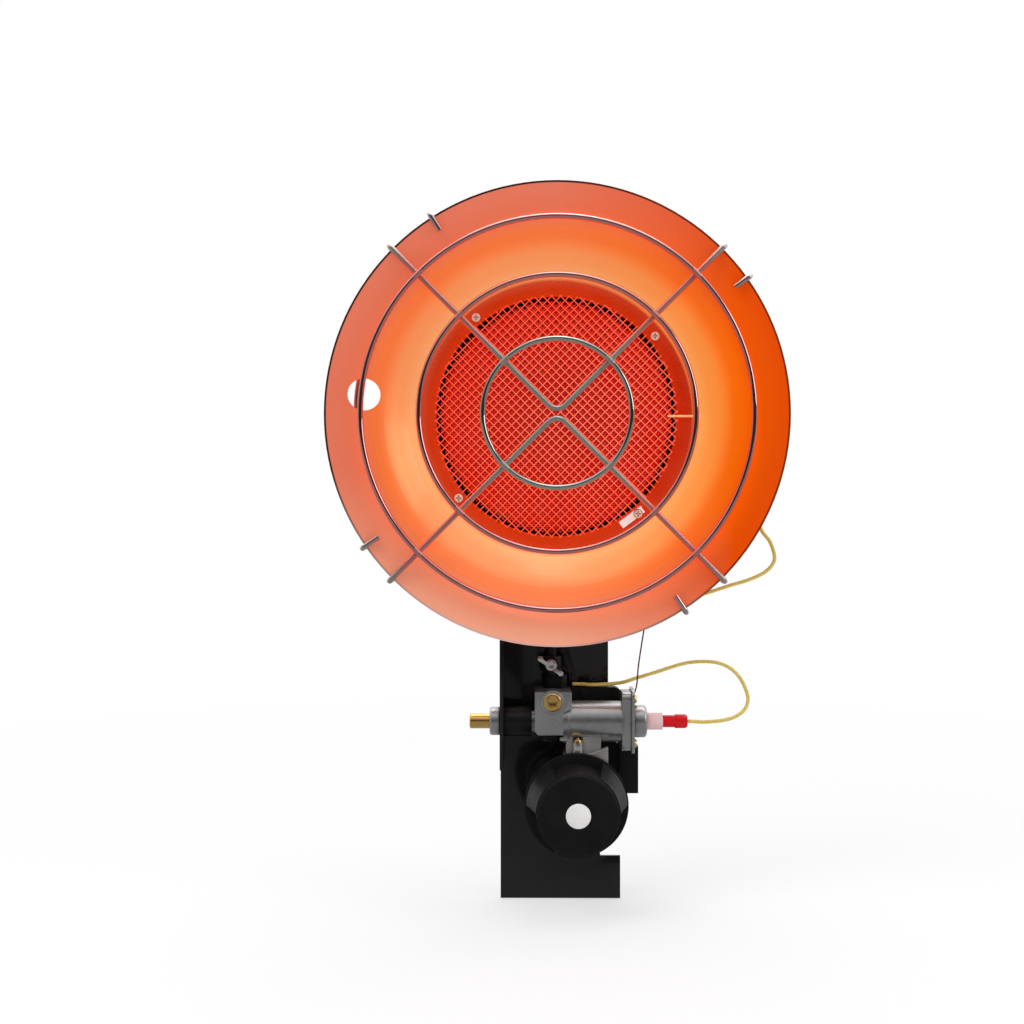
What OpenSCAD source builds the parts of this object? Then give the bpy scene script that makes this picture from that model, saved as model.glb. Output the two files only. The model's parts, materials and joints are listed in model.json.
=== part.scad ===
// Radiant propane heater that screws onto a gas cylinder's outlet.
// +Z is up and the heater shines towards -Y.
// The origin is the tip of the inlet nipple, on the axis of the tank outlet.

/* [Reflector] */
// Outer radius of the reflector dish
dish_r = 125; // [118:1:135]
// Height of the dish axis above the inlet axis
dish_z = 210.9; // [200:0.1:225]
// Offset of the dish axis from the inlet axis, to the right
dish_x = -10.7; // [-16:0.1:-6]
// Distance of the rim in front of the inlet tip
rim_out = 75; // [72:0.5:84]
// Depth from the rim to the floor of the dish
dish_depth = 24; // [18:0.5:26]
// Thickness of the dish sheet
dish_wall = 1; // [0.6:0.1:1.6]
// Width of the flat outer band
band_w = 19; // [13:0.5:25]
// Depth of the outer band where it meets the curved reflector
band_depth = 5; // [3:0.5:8]
// Radius of the dish floor
floor_r = 75; // [72:0.5:80]
// Radius of the lighting hole
hole_r = 8.6; // [6:0.1:11]
// Distance of the lighting hole's centre inside the dish rim
hole_in = 20.4; // [19:0.1:29]
// Turn of the rim lip behind the edge
lip_h = 3.2; // [2:0.1:5]

/* [Burner] */
// Width of the ring plate, from the floor's edge to the open burner face
ring_w = 9; // [8:0.5:12]
// Overlap of the wire cloth behind the ring plate
mesh_lap = 1.2; // [0.8:0.1:1.3]
// Thickness of each wire cloth
mesh_t = 0.8; // [0.5:0.1:1.2]
// Thickness of the clamp ring round the cloth
ring_t = 1.2; // [0.8:0.1:2]
// Distance of the ring screws outside the open burner face
ring_screw_in = 4.1; // [4.1:0.1:4.8]
// Shank radius of the ring screws
ring_screw_shank_r = 1.2; // [1:0.1:1.3]
// Gap between the two wire cloths
mesh_gap = 2.2; // [1.5:0.1:4]
// Wall of the burner pan
pan_wall = 1; // [0.8:0.1:1.6]
// Outer radius of the mixing tube
mix_r = 6.6; // [5.8:0.1:7]
// Wall of the mixing tube
mix_wall = 1; // [0.6:0.1:1.4]

/* [Guard] */
// Diameter of the guard wire
wire_d = 3.2; // [2.6:0.1:3.4]
// Radius of the outer guard ring
guard_outer_r = 104.9; // [100:0.1:110]
// Radius of the middle guard ring
guard_middle_r = 73.8; // [70:0.1:80]
// Radius of the inner guard ring
guard_inner_r = 39.7; // [34:0.1:46]
// Bend radius of each crossing wire next to the centre
apex_bend_r = 6.5; // [5:0.1:9]
// Length of the hooks' front legs
hook_leg = 9; // [7:0.5:12]
// Distance of the rear guard ring inside the dish rim
rear_ring_in = 16; // [15:0.5:23]

/* [Bracket] */
// Thickness of the bracket sheet
sheet = 2; // [1.5:0.1:3]
// Distance of the plate's front face in front of the inlet tip
plate_out = 34; // [33:0.5:36]
// Left edge of the bracket
plate_left = 41.6; // [38:0.1:46]
// Right edge of the upper part
plate_right = 19; // [14:0.1:24]
// Right edge of the narrow middle part
waist_right = 14.5; // [13.8:0.1:16]
// Right edge of the foot
foot_right = 25.8; // [20:0.1:32]
// Reach of the foot below the inlet axis
foot_down = 59.5; // [54:0.1:66]
// Height of the foot
foot_h = 24; // [18:0.5:30]
// Bottom of the upper part above the inlet axis
shoulder_z = 61.8; // [58:0.1:66]
// Top of the plate above the inlet axis
plate_top = 192; // [188:1:200]
// Depth of the left side flange
side_depth = 33; // [30:0.5:36]
// Top of the left side flange
side_top = 92; // [84:1:98]
// Bottom of the left side flange
side_low = 18; // [10:1:24]

/* [Valve] */
// Height of the valve axis above the inlet axis
valve_z = 43.4; // [42.5:0.1:46]
// Distance of the valve axis in front of the inlet tip
valve_out = 55; // [54:0.1:57]
// Radius of the valve barrel
barrel_r = 11.2; // [10.4:0.1:11.6]
// Left end of the valve block
block_left = 22.5; // [20.5:0.1:25]
// Right end of the block's upper half, left of the inlet axis
block_right = 2.6; // [1.6:0.1:4]
// Right end of the block's lower half, left of the inlet axis
block_waist = 7.1; // [6:0.1:8]
// Distance of the block's back in front of the inlet tip
block_back = 36.4; // [36:0.1:37]
// Height of the block's top above the valve axis
block_up = 17; // [16.4:0.1:18]
// Right end of the barrel
barrel_right = 24.9; // [24:0.1:27]
// Thickness of the valve's end flange
flange_t = 5.1; // [5:0.1:8]
// Half the height of the end flange
flange_half = 16.1; // [15.6:0.1:17]
// Radius of the valve's end cap
cap_r = 8.8; // [8:0.1:9.4]
// Radius of the gas passage plug
plug_r = 4.9; // [4.4:0.1:5.4]
// Radius of the safety button
button_r = 4.1; // [3.4:0.1:4.6]
// Travel of the safety button
button_travel = 5; // [3:0.5:6]
// Reach of the button outside its collar
button_out = 11; // [9:0.5:14]
// Radius of the button's collar
collar_r = 7.7; // [7:0.1:8.4]
// Length of the button's collar
collar_l = 5.6; // [4:0.1:7]
// Running clearance round moving pins
run_gap = 0.06; // [0.03:0.01:0.1]

/* [Gas line] */
// Offset of the gas tube from the inlet axis, to the left
tube_x = 13.4; // [12.6:0.1:14]
// Outer radius of the gas tube
tube_r = 3.2; // [2.8:0.1:3.6]
// Height of the wing screw above the inlet axis
wing_z = 74; // [73:0.1:78]
// Reach of each wing from the screw's axis
wing_reach = 8.3; // [7.6:0.1:9]
// Tilt of the wings at rest
wing_tilt = 35.5; // [0:0.5:90]
// Shank radius of the wing screw
wing_shank_r = 2; // [1.6:0.1:2.4]

/* [Regulator] */
// Radius of the regulator housing
reg_r = 24; // [22:0.1:24.4]
// Distance of the housing's front in front of the inlet tip
reg_front = 64; // [62:0.5:65]
// Radius of the adjuster stem
stem_r = 4; // [3:0.1:5]
// Radius of the knob's base flange
knob_r = 28; // [27:0.1:30]
// Length of the knob
knob_l = 30; // [28:0.5:34]
// Radius of the knob's front face
knob_face_r = 21.8; // [20:0.1:23]
// Half the angle of each grip lobe
lobe_half = 28.4; // [24:0.1:32]
// Radius of the inset disc on the knob's face
disc_r = 6.6; // [6:0.1:9]

/* [Tank connection] */
// Radius of the inlet nipple
nipple_r = 6.35; // [6:0.05:6.8]
// Outer radius of the coupling nut
nut_r = 25; // [23:0.1:27]
// Bore radius of the coupling nut
nut_bore_r = 16.7; // [16.4:0.1:17]
// Length of the coupling nut
nut_l = 22; // [19:0.1:23]
// Reach of the nipple past the coupling nut
nipple_past = 2; // [1:0.1:4]
// Radius of the coupling nut's hub bore
hub_bore_r = 8.06; // [8.03:0.01:8.1]

/* [Switch and leads] */
// Thickness of the tip-over switch housing
switch_t = 8.5; // [7:0.1:8.8]
// Right edge of the switch's upper part
switch_right = 26.3; // [25.6:0.1:28]
// Right edge of the switch's lower part
switch_wide = 35.3; // [33:0.1:38]
// Top of the switch above the inlet axis
switch_top = 60.5; // [58:0.1:61.5]
// Bottom of the switch above the inlet axis
switch_low = 1.3; // [0:0.1:6]
// Diameter of the yellow leads
lead_d = 2; // [1.6:0.1:2.4]
// Diameter of the ground wire
ground_d = 0.8; // [0.6:0.1:1]

/* [Hidden] */
$fn = 64;
// Steps of a large spun curve
fine = 128;
// Clearance between pieces that only pass each other
gap = 0.3;
// Clearance of a shank in its hole
shank_gap = 0.1;
// Overshoot of a cutting solid past the face that it cuts
cut = 1;

// Pan depth that fills the space between the dish floor and the bracket
pan_depth = rim_out - plate_out - dish_depth - dish_wall;
band_r = dish_r - band_w;
hole_ring_r = dish_r - hole_in;
face_r = floor_r - ring_w;
mesh_r = face_r + mesh_lap;
ring_screw_r = face_r + ring_screw_in;
rear_ring_r = dish_r - rear_ring_in;
pan_in_r = mesh_r + gap;
pan_out_r = pan_in_r + pan_wall;
floor_back = dish_depth + dish_wall;
rear_mesh_y = floor_back + mesh_gap;
diffuser_r = pan_in_r - 5;
ring_screw_angles = [39, 129, 220, 310];
hole_angle = 174.1;
gas_y = -(plate_out + pan_depth / 2);
plate_back = plate_out - sheet;
bolt_z = [162, 182];
bolt_r = 2;
bolt_x = 9;

// A solid of revolution about +Y: profile points are [radius, distance along +Y]
module spun(steps = 64) {
    rotate([-90, 0, 0]) rotate_extrude($fn = steps) children();
}
// A rod along +Y between two distances
module rod_y(r, y0, y1, steps = 64) {
    translate([0, y0, 0]) rotate([-90, 0, 0]) cylinder(r = r, h = y1 - y0, $fn = steps);
}
// A rod along +X between two distances
module rod_x(r, x0, x1, steps = 64) {
    translate([x0, 0, 0]) rotate([0, 90, 0]) cylinder(r = r, h = x1 - x0, $fn = steps);
}
// A plate drawn in X and Z, from a front distance back by a thickness
module plate_y(front, thick) {
    translate([0, -front + thick, 0]) rotate([90, 0, 0]) linear_extrude(thick) children();
}
// A rectangle with round corners
module round_rect(w, h, r) {
    square([w - 2 * r, h], center = true);
    square([w, h - 2 * r], center = true);
    for (x = [-1, 1], y = [-1, 1])
        translate([x * (w / 2 - r), y * (h / 2 - r)]) circle(r = r, $fn = 32);
}
// The head's own place: dish axis along Y, rim plane at 0
module at_head() {
    translate([dish_x, -rim_out, dish_z]) children();
}
// A place on the head at an angle and a distance from its axis
module on_head(angle, r) {
    at_head() translate([r * cos(angle), 0, r * sin(angle)]) children();
}

// ---- Reflector and burner ----

function bowl(t) = band_depth + (dish_depth - band_depth) * pow(1 - t, 1.5);
bowl_steps = 10;
bowl_front = [
    for (i = [0:bowl_steps])
        let (t = i / bowl_steps) [floor_r + (band_r - floor_r) * t, bowl(t)]
];
function shifted(points, d) = [for (p = points) [p[0], p[1] + d]];
function reversed(points) = [for (i = [len(points) - 1:-1:0]) points[i]];

module reflector_dish() {
    color([0.92, 0.42, 0.22])
    difference() {
        at_head() spun(fine) {
            polygon(concat(
                [[pan_in_r, dish_depth]], bowl_front,
                [[dish_r - dish_wall, 0], [dish_r, 0], [dish_r, lip_h],
                 [dish_r - dish_wall, lip_h], [dish_r - dish_wall, dish_wall]],
                reversed(shifted(bowl_front, dish_wall)), [[pan_in_r, floor_back]]
            ));
        }
        on_head(hole_angle, hole_ring_r) rod_y(hole_r, -cut, dish_depth);
        for (a = ring_screw_angles) on_head(a, ring_screw_r)
            rod_y(ring_screw_shank_r + shank_gap, dish_depth - cut, floor_back + cut, 24);
        at_head() translate([0, probe_y, 0])
            rod_x(probe_r + gap, floor_r - cut, band_r, 24);
    }
}

module burner_ring() {
    color([0.78, 0.20, 0.05])
    difference() {
        at_head() rod_y(floor_r - gap, dish_depth - ring_t, dish_depth, fine);
        at_head() rod_y(face_r, dish_depth - ring_t - cut, dish_depth + cut, fine);
        for (a = ring_screw_angles) on_head(a, ring_screw_r)
            rod_y(ring_screw_shank_r + shank_gap, dish_depth - ring_t - cut, dish_depth + cut, 24);
    }
}

ring_screw_head_r = 2.4;
ring_screw_head_h = 1.6;
pan_rim_back = floor_back + pan_wall;
module ring_screws() {
    color([0.62, 0.30, 0.16])
    for (a = ring_screw_angles) on_head(a, ring_screw_r) {
        rod_y(ring_screw_shank_r, dish_depth - ring_t, pan_rim_back + 2, 24);
        difference() {
            spun(32) polygon([
                [0, dish_depth - ring_t - ring_screw_head_h],
                [ring_screw_head_r * 0.6, dish_depth - ring_t - ring_screw_head_h],
                [ring_screw_head_r, dish_depth - ring_t - ring_screw_head_h * 0.4],
                [ring_screw_head_r, dish_depth - ring_t], [0, dish_depth - ring_t]
            ]);
            for (turn = [0, 90]) rotate([0, turn, 0])
                translate([-1.5, dish_depth - ring_t - ring_screw_head_h - cut, -0.3])
                    cube([3, cut + 0.7, 0.6]);
        }
    }
}

// The front cloth lies on the face of the ring and covers the edge of its opening
front_lap = 1;
module mesh_front() {
    color([0.85, 0.18, 0.08])
    at_head() rod_y(face_r + front_lap, dish_depth - ring_t - mesh_t, dish_depth - ring_t, fine);
}

module mesh_spacer() {
    color([0.5, 0.16, 0.1])
    at_head() difference() {
        rod_y(mesh_r, dish_depth, rear_mesh_y, fine);
        rod_y(face_r, dish_depth - cut, rear_mesh_y + cut, fine);
    }
}

module mesh_rear() {
    color([0.7, 0.14, 0.07])
    at_head() rod_y(mesh_r, rear_mesh_y, rear_mesh_y + mesh_t, fine);
}

diffuser_y = rear_mesh_y + mesh_t;
diffuser_hole_r = 2.6;
diffuser_pitch = 13;
module diffuser_plate() {
    color([0.45, 0.42, 0.4])
    at_head() difference() {
        rod_y(diffuser_r, diffuser_y, floor_back + pan_depth - pan_wall, fine);
        rod_y(diffuser_r - pan_wall, diffuser_y + pan_wall, floor_back + pan_depth, fine);
        rod_y(diffuser_hole_r, diffuser_y - cut, diffuser_y + pan_wall + cut, 24);
        for (ring = [1:4], k = [0:6 * ring - 1])
            rotate([0, k * 60 / ring, 0]) translate([ring * diffuser_pitch, 0, 0])
                rod_y(diffuser_hole_r, diffuser_y - cut, diffuser_y + pan_wall + cut, 24);
        translate([-tube_x - dish_x, gas_y + rim_out, -diffuser_r - cut])
            cylinder(r = mix_r + gap, h = 12);
    }
}

module burner_pan() {
    color([0.55, 0.52, 0.5])
    difference() {
        at_head() difference() {
            union() {
                rod_y(pan_out_r, floor_back, floor_back + pan_depth, fine);
                rod_y(floor_r, floor_back, pan_rim_back, fine);
            }
            rod_y(pan_in_r, floor_back - cut, floor_back + pan_depth - pan_wall, fine);
        }
        for (a = ring_screw_angles) on_head(a, ring_screw_r)
            rod_y(ring_screw_shank_r + shank_gap, floor_back - cut, pan_rim_back + cut, 24);
        translate([-tube_x, gas_y, mix_foot_z]) cylinder(r = mix_r + shank_gap, h = mix_l + cut);
        for (z = bolt_z, x = [-bolt_x, bolt_x])
            translate([dish_x + x, 0, z]) rod_y(bolt_r + shank_gap, -plate_out - pan_wall - cut, 0, 24);
    }
}

// ---- Gas line to the burner ----

block_top = valve_z + block_up;
union_h = 7;
orifice_z = wing_z + 16;
orifice_hex = 6.4;
orifice_h = 8;
mix_foot_z = orifice_z + orifice_h;
mix_top_z = dish_z - pan_in_r;
mix_l = mix_top_z - mix_foot_z;
air_port_w = 5;
air_port_h = 11;
tube_bore_r = tube_r - 1;
spud_r = 2.4;
spud_h = 4;

module mixing_tube() {
    color([0.5, 0.5, 0.52])
    translate([-tube_x, gas_y, mix_foot_z]) difference() {
        cylinder(r = mix_r, h = mix_l);
        translate([0, 0, -cut]) cylinder(r = mix_r - mix_wall, h = mix_l + 2 * cut);
        translate([-mix_r - cut, -air_port_w / 2, spud_h]) cube([2 * (mix_r + cut), air_port_w, air_port_h]);
    }
}

module orifice_holder() {
    color([0.8, 0.62, 0.28])
    translate([-tube_x, gas_y, orifice_z]) difference() {
        union() {
            cylinder(r = orifice_hex, h = orifice_h, $fn = 6);
            cylinder(r = spud_r, h = orifice_h + spud_h, $fn = 32);
        }
        translate([0, 0, -cut]) cylinder(r = tube_r + shank_gap, h = orifice_h / 2 + cut);
        cylinder(r = 0.5, h = orifice_h + spud_h + cut, $fn = 24);
    }
}

module gas_tube() {
    color([0.07, 0.07, 0.07])
    translate([-tube_x, gas_y, block_top]) difference() {
        cylinder(r = tube_r, h = orifice_z + orifice_h / 2 - block_top);
        translate([0, 0, -cut])
            cylinder(r = tube_bore_r, h = orifice_z + orifice_h / 2 - block_top + 2 * cut);
    }
}

module outlet_union() {
    color([0.07, 0.07, 0.07])
    translate([-tube_x, gas_y, block_top]) difference() {
        linear_extrude(union_h) {
            circle(r = tube_r + 1);
            translate([0, -tube_r - 1]) square([union_offset, 2 * tube_r + 2]);
            translate([union_offset, 0]) circle(r = tube_r + 1);
        }
        translate([0, 0, -cut]) cylinder(r = tube_r + shank_gap, h = union_h + 2 * cut);
    }
}
union_offset = 5;

clamp_h = 8;
clamp_r = 6;
clamp_front = 8;
wing_hub_r = 3.1;
wing_hub_l = 4.5;
wing_t = 1.9;
wing_drop = 1;
module tube_clamp() {
    color([0.06, 0.06, 0.06])
    translate([-tube_x, gas_y, wing_z]) difference() {
        union() {
            translate([0, 0, -clamp_h / 2]) cylinder(r = clamp_r, h = clamp_h);
            translate([-clamp_r, 0, -clamp_h / 2]) cube([2 * clamp_r, -plate_out - gas_y, clamp_h]);
            rod_y(clamp_h / 2, -clamp_front, 0);
        }
        translate([0, 0, -clamp_h]) cylinder(r = tube_r + shank_gap, h = 2 * clamp_h);
        rod_y(wing_shank_r + run_gap, -clamp_front - cut, 0, 48);
    }
}

module wing_screw() {
    color([0.82, 0.82, 0.84])
    translate([-tube_x, gas_y, wing_z]) rotate([0, wing_tilt, 0]) {
        rod_y(wing_shank_r, -clamp_front - gap, -tube_r - gap, 48);
        difference() {
            rod_y(wing_hub_r, -clamp_front - gap - wing_hub_l, -clamp_front - gap, 48);
            rod_y(1.4, -clamp_front - gap - wing_hub_l - cut, -clamp_front - gap - wing_hub_l + 0.8, 24);
        }
        for (side = [-1, 1]) {
            translate([0, -clamp_front - gap - 1, 0]) rotate([90, 0, 0])
                linear_extrude(wing_hub_l - 0.5) difference() {
                    translate([0, -wing_drop]) {
                        translate([min(0, side * (wing_reach - wing_t / 2)), -wing_t / 2])
                            square([wing_reach - wing_t / 2, wing_t]);
                        translate([side * (wing_reach - 1.5), 0.3]) circle(r = 1.5, $fn = 24);
                    }
                    circle(r = wing_hub_r - 0.4, $fn = 48);
                }
        }
    }
}

// ---- Thermocouple on the head ----

probe_r = 0.6;
probe_neck_r = 1.2;
probe_y = dish_depth - ring_t - mesh_t - probe_r - 2 * gap;
probe_tip = face_r - 4.3;
probe_seat = floor_r + 8.5;
probe_seat_t = 2;
probe_nut_l = 6;
probe_end = probe_seat + probe_seat_t + probe_nut_l + 0.5;
module thermocouple() {
    color([0.75, 0.72, 0.68])
    at_head() translate([0, probe_y, 0]) {
        rod_x(probe_r, probe_tip, probe_seat + 1, 24);
        translate([probe_tip, 0, 0]) sphere(r = probe_r, $fn = 24);
        rod_x(probe_neck_r, probe_seat, probe_end, 24);
        rod_x(2 * probe_neck_r, probe_seat, probe_seat + probe_seat_t, 24);
    }
}

module thermocouple_nut() {
    color([0.8, 0.62, 0.28])
    at_head() translate([0, probe_y, 0]) difference() {
        rotate([0, 90, 0]) translate([0, 0, probe_seat + probe_seat_t])
            cylinder(r = 3.4, h = probe_nut_l, $fn = 6);
        rod_x(probe_neck_r + 0.02, floor_r, probe_end, 24);
    }
}

bracket_angle = 306.9;
bracket_l = 15;
bracket_w = 4.2;
bracket_t = 1;
bracket_lip = 2.4;
module ring_bracket() {
    color([0.92, 0.86, 0.84])
    difference() {
        at_head() rotate([0, -bracket_angle, 0]) {
            translate([face_r + front_lap + gap, dish_depth - ring_t - bracket_t, -bracket_l / 2])
                cube([bracket_w, bracket_t, bracket_l]);
            translate([face_r + front_lap + gap, dish_depth - ring_t - bracket_lip, -bracket_l / 2])
                cube([bracket_t, bracket_lip, bracket_l]);
        }
        on_head(ring_screw_angles[3], ring_screw_r)
            rod_y(ring_screw_head_r + 0.2, 0, dish_depth, 32);
    }
}

// ---- Wire guard ----

wire_r = wire_d / 2;
weld = 0.05;
rim_bend = wire_r + gap;
front_wire_y = -wire_r - 0.1;
rear_wire_y = band_depth + dish_wall + wire_r + gap;
over_rim_r = dish_r + wire_r + 0.1;
guard_ring_y = front_wire_y - wire_d + weld;

module wire_ring(r, y) {
    at_head() translate([0, y, 0]) spun(fine) translate([r, 0]) circle(r = wire_r, $fn = 24);
}
// A quarter bend in the plane of X and Y
module quarter_bend(x, y, start) {
    translate([x, y, 0]) rotate([0, 0, start])
        rotate_extrude(angle = 90) translate([rim_bend, 0]) circle(r = wire_r, $fn = 24);
}
// A wire that lies on the front, turns round the rim and returns behind it
module over_rim(angle, from_r) {
    bend_x = over_rim_r - rim_bend;
    at_head() rotate([0, -angle, 0]) {
        translate([0, front_wire_y, 0]) rod_x(wire_r, from_r, bend_x, 24);
        quarter_bend(bend_x, front_wire_y + rim_bend, -90);
        translate([over_rim_r, 0, 0]) rod_y(wire_r, front_wire_y + rim_bend, rear_wire_y - rim_bend, 24);
        quarter_bend(bend_x, rear_wire_y - rim_bend, 0);
        translate([0, rear_wire_y, 0]) rod_x(wire_r, rear_ring_r - 2, bend_x, 24);
    }
}
// Two straight legs at 45 degrees that meet in a round bend by the centre
module crossing_wire(turn) {
    for (side = [45, 135]) over_rim(turn + side, apex_bend_r);
    at_head() translate([0, front_wire_y, 0]) rotate([0, -turn, 0])
        translate([0, 0, apex_bend_r * sqrt(2)]) rotate([90, 0, 0]) rotate([0, 0, 225])
            rotate_extrude(angle = 90) translate([apex_bend_r, 0]) circle(r = wire_r, $fn = 24);
}

steel = [0.72, 0.66, 0.63];
module guard_outer_ring() color(steel) wire_ring(guard_outer_r, guard_ring_y);
module guard_middle_ring() color(steel) wire_ring(guard_middle_r, guard_ring_y);
module guard_inner_ring() color(steel) wire_ring(guard_inner_r, guard_ring_y);
module guard_upper_wire() color(steel) crossing_wire(0);
module guard_lower_wire() color(steel) crossing_wire(180);
module guard_rear_ring() color(steel) wire_ring(rear_ring_r, rear_wire_y + wire_d - weld);

hook_angles = [122.6, 35.4, 214.7, 303];
module guard_hooks() {
    color(steel)
    for (a = hook_angles) over_rim(a, dish_r - hook_leg);
}

// ---- Bracket ----

inlet_hole_r = 10;
bush_hole_r = 5.6;
neck_half = 22;
neck_z = 128;
wide_top = 98;
module support_bracket() {
    color([0.05, 0.05, 0.05])
    difference() {
        union() {
            plate_y(plate_out, sheet) polygon([
                [-plate_left, -foot_down], [foot_right, -foot_down],
                [foot_right, foot_h - foot_down], [waist_right, foot_h - foot_down],
                [waist_right, shoulder_z], [plate_right, shoulder_z],
                [plate_right, wide_top], [dish_x + neck_half, neck_z],
                [dish_x + neck_half, plate_top], [dish_x - neck_half, plate_top],
                [dish_x - neck_half, neck_z], [-plate_left, wide_top]
            ]);
            translate([-plate_left, -plate_back - side_depth, side_low])
                cube([sheet, side_depth, side_top - side_low]);
        }
        rod_y(inlet_hole_r, -plate_out - cut, 0);
        for (z = bolt_z, x = [-bolt_x, bolt_x])
            translate([dish_x + x, 0, z]) rod_y(bolt_r + shank_gap, -plate_out - cut, 0, 24);
        for (p = switch_screw_places)
            translate([p[0], 0, p[1]]) rod_y(1.5, -plate_out - cut, 0, 24);
        translate([0, -valve_out, valve_z]) rod_x(bush_hole_r, -plate_left - cut, -plate_left + sheet + cut);
    }
}

module head_bolts() {
    color([0.75, 0.75, 0.77])
    for (z = bolt_z, x = [-bolt_x, bolt_x]) translate([dish_x + x, 0, z]) {
        rod_y(bolt_r, -plate_out - pan_wall, -plate_back + 3.5, 24);
        rod_y(3.6, -plate_out - pan_wall - 1.8, -plate_out - pan_wall, 32);
        rod_y(3.9, -plate_back, -plate_back + 2.8, 6);
    }
}

// ---- Tip-over switch ----

switch_left = block_right - 0.4;
switch_step = 34;
switch_corner = 5;
switch_shoulder = 26.5;
switch_neck = 24.1;
switch_back_t = 5;
switch_screw_places = [[5, 57], [10, 37.5]];
tab_t = 0.8;
tab_h = 7;
module tip_switch() {
    color([0.08, 0.08, 0.08])
    difference() {
        plate_y(plate_out + switch_t, switch_t) {
            translate([-switch_left, switch_step])
                square([switch_right + switch_left, switch_top - switch_corner - switch_step]);
            translate([-switch_left, switch_step])
                square([switch_right - switch_corner + switch_left, switch_top - switch_step]);
            translate([switch_right - switch_corner, switch_top - switch_corner])
                circle(r = switch_corner);
            translate([switch_neck, switch_shoulder])
                square([switch_right - switch_neck, switch_step - switch_shoulder + 4]);
            translate([reg_r + 0.8, switch_low])
                square([switch_wide - reg_r - 0.8, switch_shoulder - switch_low + 1]);
        }
        for (p = switch_screw_places) translate([p[0], 0, p[1]])
            rod_y(1.4, -plate_out - switch_t - cut, 0, 24);
    }
    color([0.08, 0.08, 0.08])
    plate_y(plate_out + switch_back_t, switch_back_t) polygon([
        [neck_r + 0.4, switch_low], [switch_right, switch_low], [switch_right, switch_shoulder],
        [switch_neck, switch_shoulder + 1.9], [switch_neck - 3.1, switch_shoulder + 3.9],
        [neck_r + 0.4, switch_shoulder + 4.5]
    ]);
    color([0.5, 0.3, 0.22])
    translate([-switch_left, -plate_out - 8, switch_top]) cube([tab_t, 4, tab_h]);
}

module switch_screws() {
    color([0.7, 0.7, 0.72])
    for (p = switch_screw_places) translate([p[0], 0, p[1]]) {
        rod_y(1.3, -plate_out - switch_t, -plate_back + 2, 24);
        rod_y(2.4, -plate_out - switch_t - 1, -plate_out - switch_t, 24);
    }
}

// ---- Safety valve ----

valve_front = valve_out + 11.5;
block_low = 6.2;
plug_x = 12.9;
plug_z = 11.9;
plug_boss_r = plug_r + 1.3;
plug_boss_h = 1.4;
flange_depth = 20;
barrel_band_r = barrel_r + 0.7;
barrel_band_l = 3.2;
end_plate_t = 1.7;
end_plate_half = flange_half + 1.3;
// Rise of the flange over the axis of the barrel
flange_up = 0.8;
cap_l = 7.1;
flange_screw_z = 12.1;
flange_right = barrel_right + flange_t;
plate_end = flange_right + end_plate_t;
module at_valve() translate([0, -valve_out, valve_z]) children();

module valve_body() {
    color([0.42, 0.42, 0.43])
    at_valve() difference() {
        union() {
            block_profile();
            rod_x(barrel_r, -block_waist, barrel_right, 96);
            rod_x(barrel_band_r, -block_waist, -block_waist + barrel_band_l, 96);
            translate([barrel_right, 0, flange_up]) rotate([90, 0, 90])
                linear_extrude(flange_t) round_rect(flange_depth, 2 * flange_half, 4);
            translate([-plug_x, 0, plug_z]) rod_y(plug_boss_r, valve_out - valve_front - plug_boss_h, 0);
            rod_x(button_bore_r + 2, -block_left - 2, -block_left);
        }
        translate([-plug_x, 0, plug_z])
            rod_y(plug_r + 0.02, valve_out - valve_front - plug_boss_h - cut, valve_out - valve_front + 4);
        rod_x(button_bore_r, -block_left - 2 - cut, -block_left + 8);
        for (s = [-1, 1]) translate([0, 0, s * flange_screw_z])
            rod_x(1.6, barrel_right + 1, flange_right + cut, 24);
        translate([-tube_x, valve_out + gas_y, block_up - 6]) cylinder(r = tube_bore_r, h = 6 + cut);
    }
}
button_bore_r = button_r + run_gap;
// The block seen from the front, with a step on the right and bevels below
module block_profile() {
    bevel = 2;
    translate([0, valve_out - block_back, 0]) rotate([90, 0, 0])
        linear_extrude(valve_front - block_back) polygon([
            [-block_left, block_up], [-block_right, block_up], [-block_right, 8],
            [-block_waist, 6], [-block_waist, -block_low],
            [-block_left + bevel, -block_low], [-block_left, -block_low + bevel]
        ]);
}

module valve_plug() {
    color([0.82, 0.6, 0.22])
    at_valve() translate([-plug_x, valve_out - valve_front, plug_z]) difference() {
        rod_y(plug_r, -plug_boss_h - 0.6, 3.8);
        rod_y(2.7, -plug_boss_h - 0.6 - cut, 1.4, 6);
        difference() {
            rod_y(plug_r + cut, -plug_boss_h - 0.6 - cut, -plug_boss_h - 0.2);
            spun(64) polygon([[0, -plug_boss_h - 2], [plug_r - 0.5, -plug_boss_h - 0.6],
                              [plug_r, -plug_boss_h], [0, -plug_boss_h]]);
        }
    }
}

module valve_end_plate() {
    color([0.45, 0.45, 0.46])
    at_valve() difference() {
        translate([flange_right, 0, flange_up]) rotate([90, 0, 90])
            linear_extrude(end_plate_t) round_rect(flange_depth + 2, 2 * end_plate_half, 4);
        for (s = [-1, 1]) translate([0, 0, s * flange_screw_z])
            rod_x(1.7, flange_right - cut, plate_end + cut, 24);
    }
}

module flange_screws() {
    color([0.82, 0.6, 0.22])
    at_valve() for (s = [-1, 1]) translate([0, 0, s * flange_screw_z]) difference() {
        union() {
            rod_x(1.5, barrel_right + 1.5, plate_end, 24);
            translate([plate_end, 0, 0]) rotate([0, 90, 0])
                cylinder(r1 = 2.8, r2 = 2, h = 1.8, $fn = 32);
        }
        translate([plate_end + 1.2, -3, -0.35]) cube([cut, 6, 0.7]);
    }
}

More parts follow.
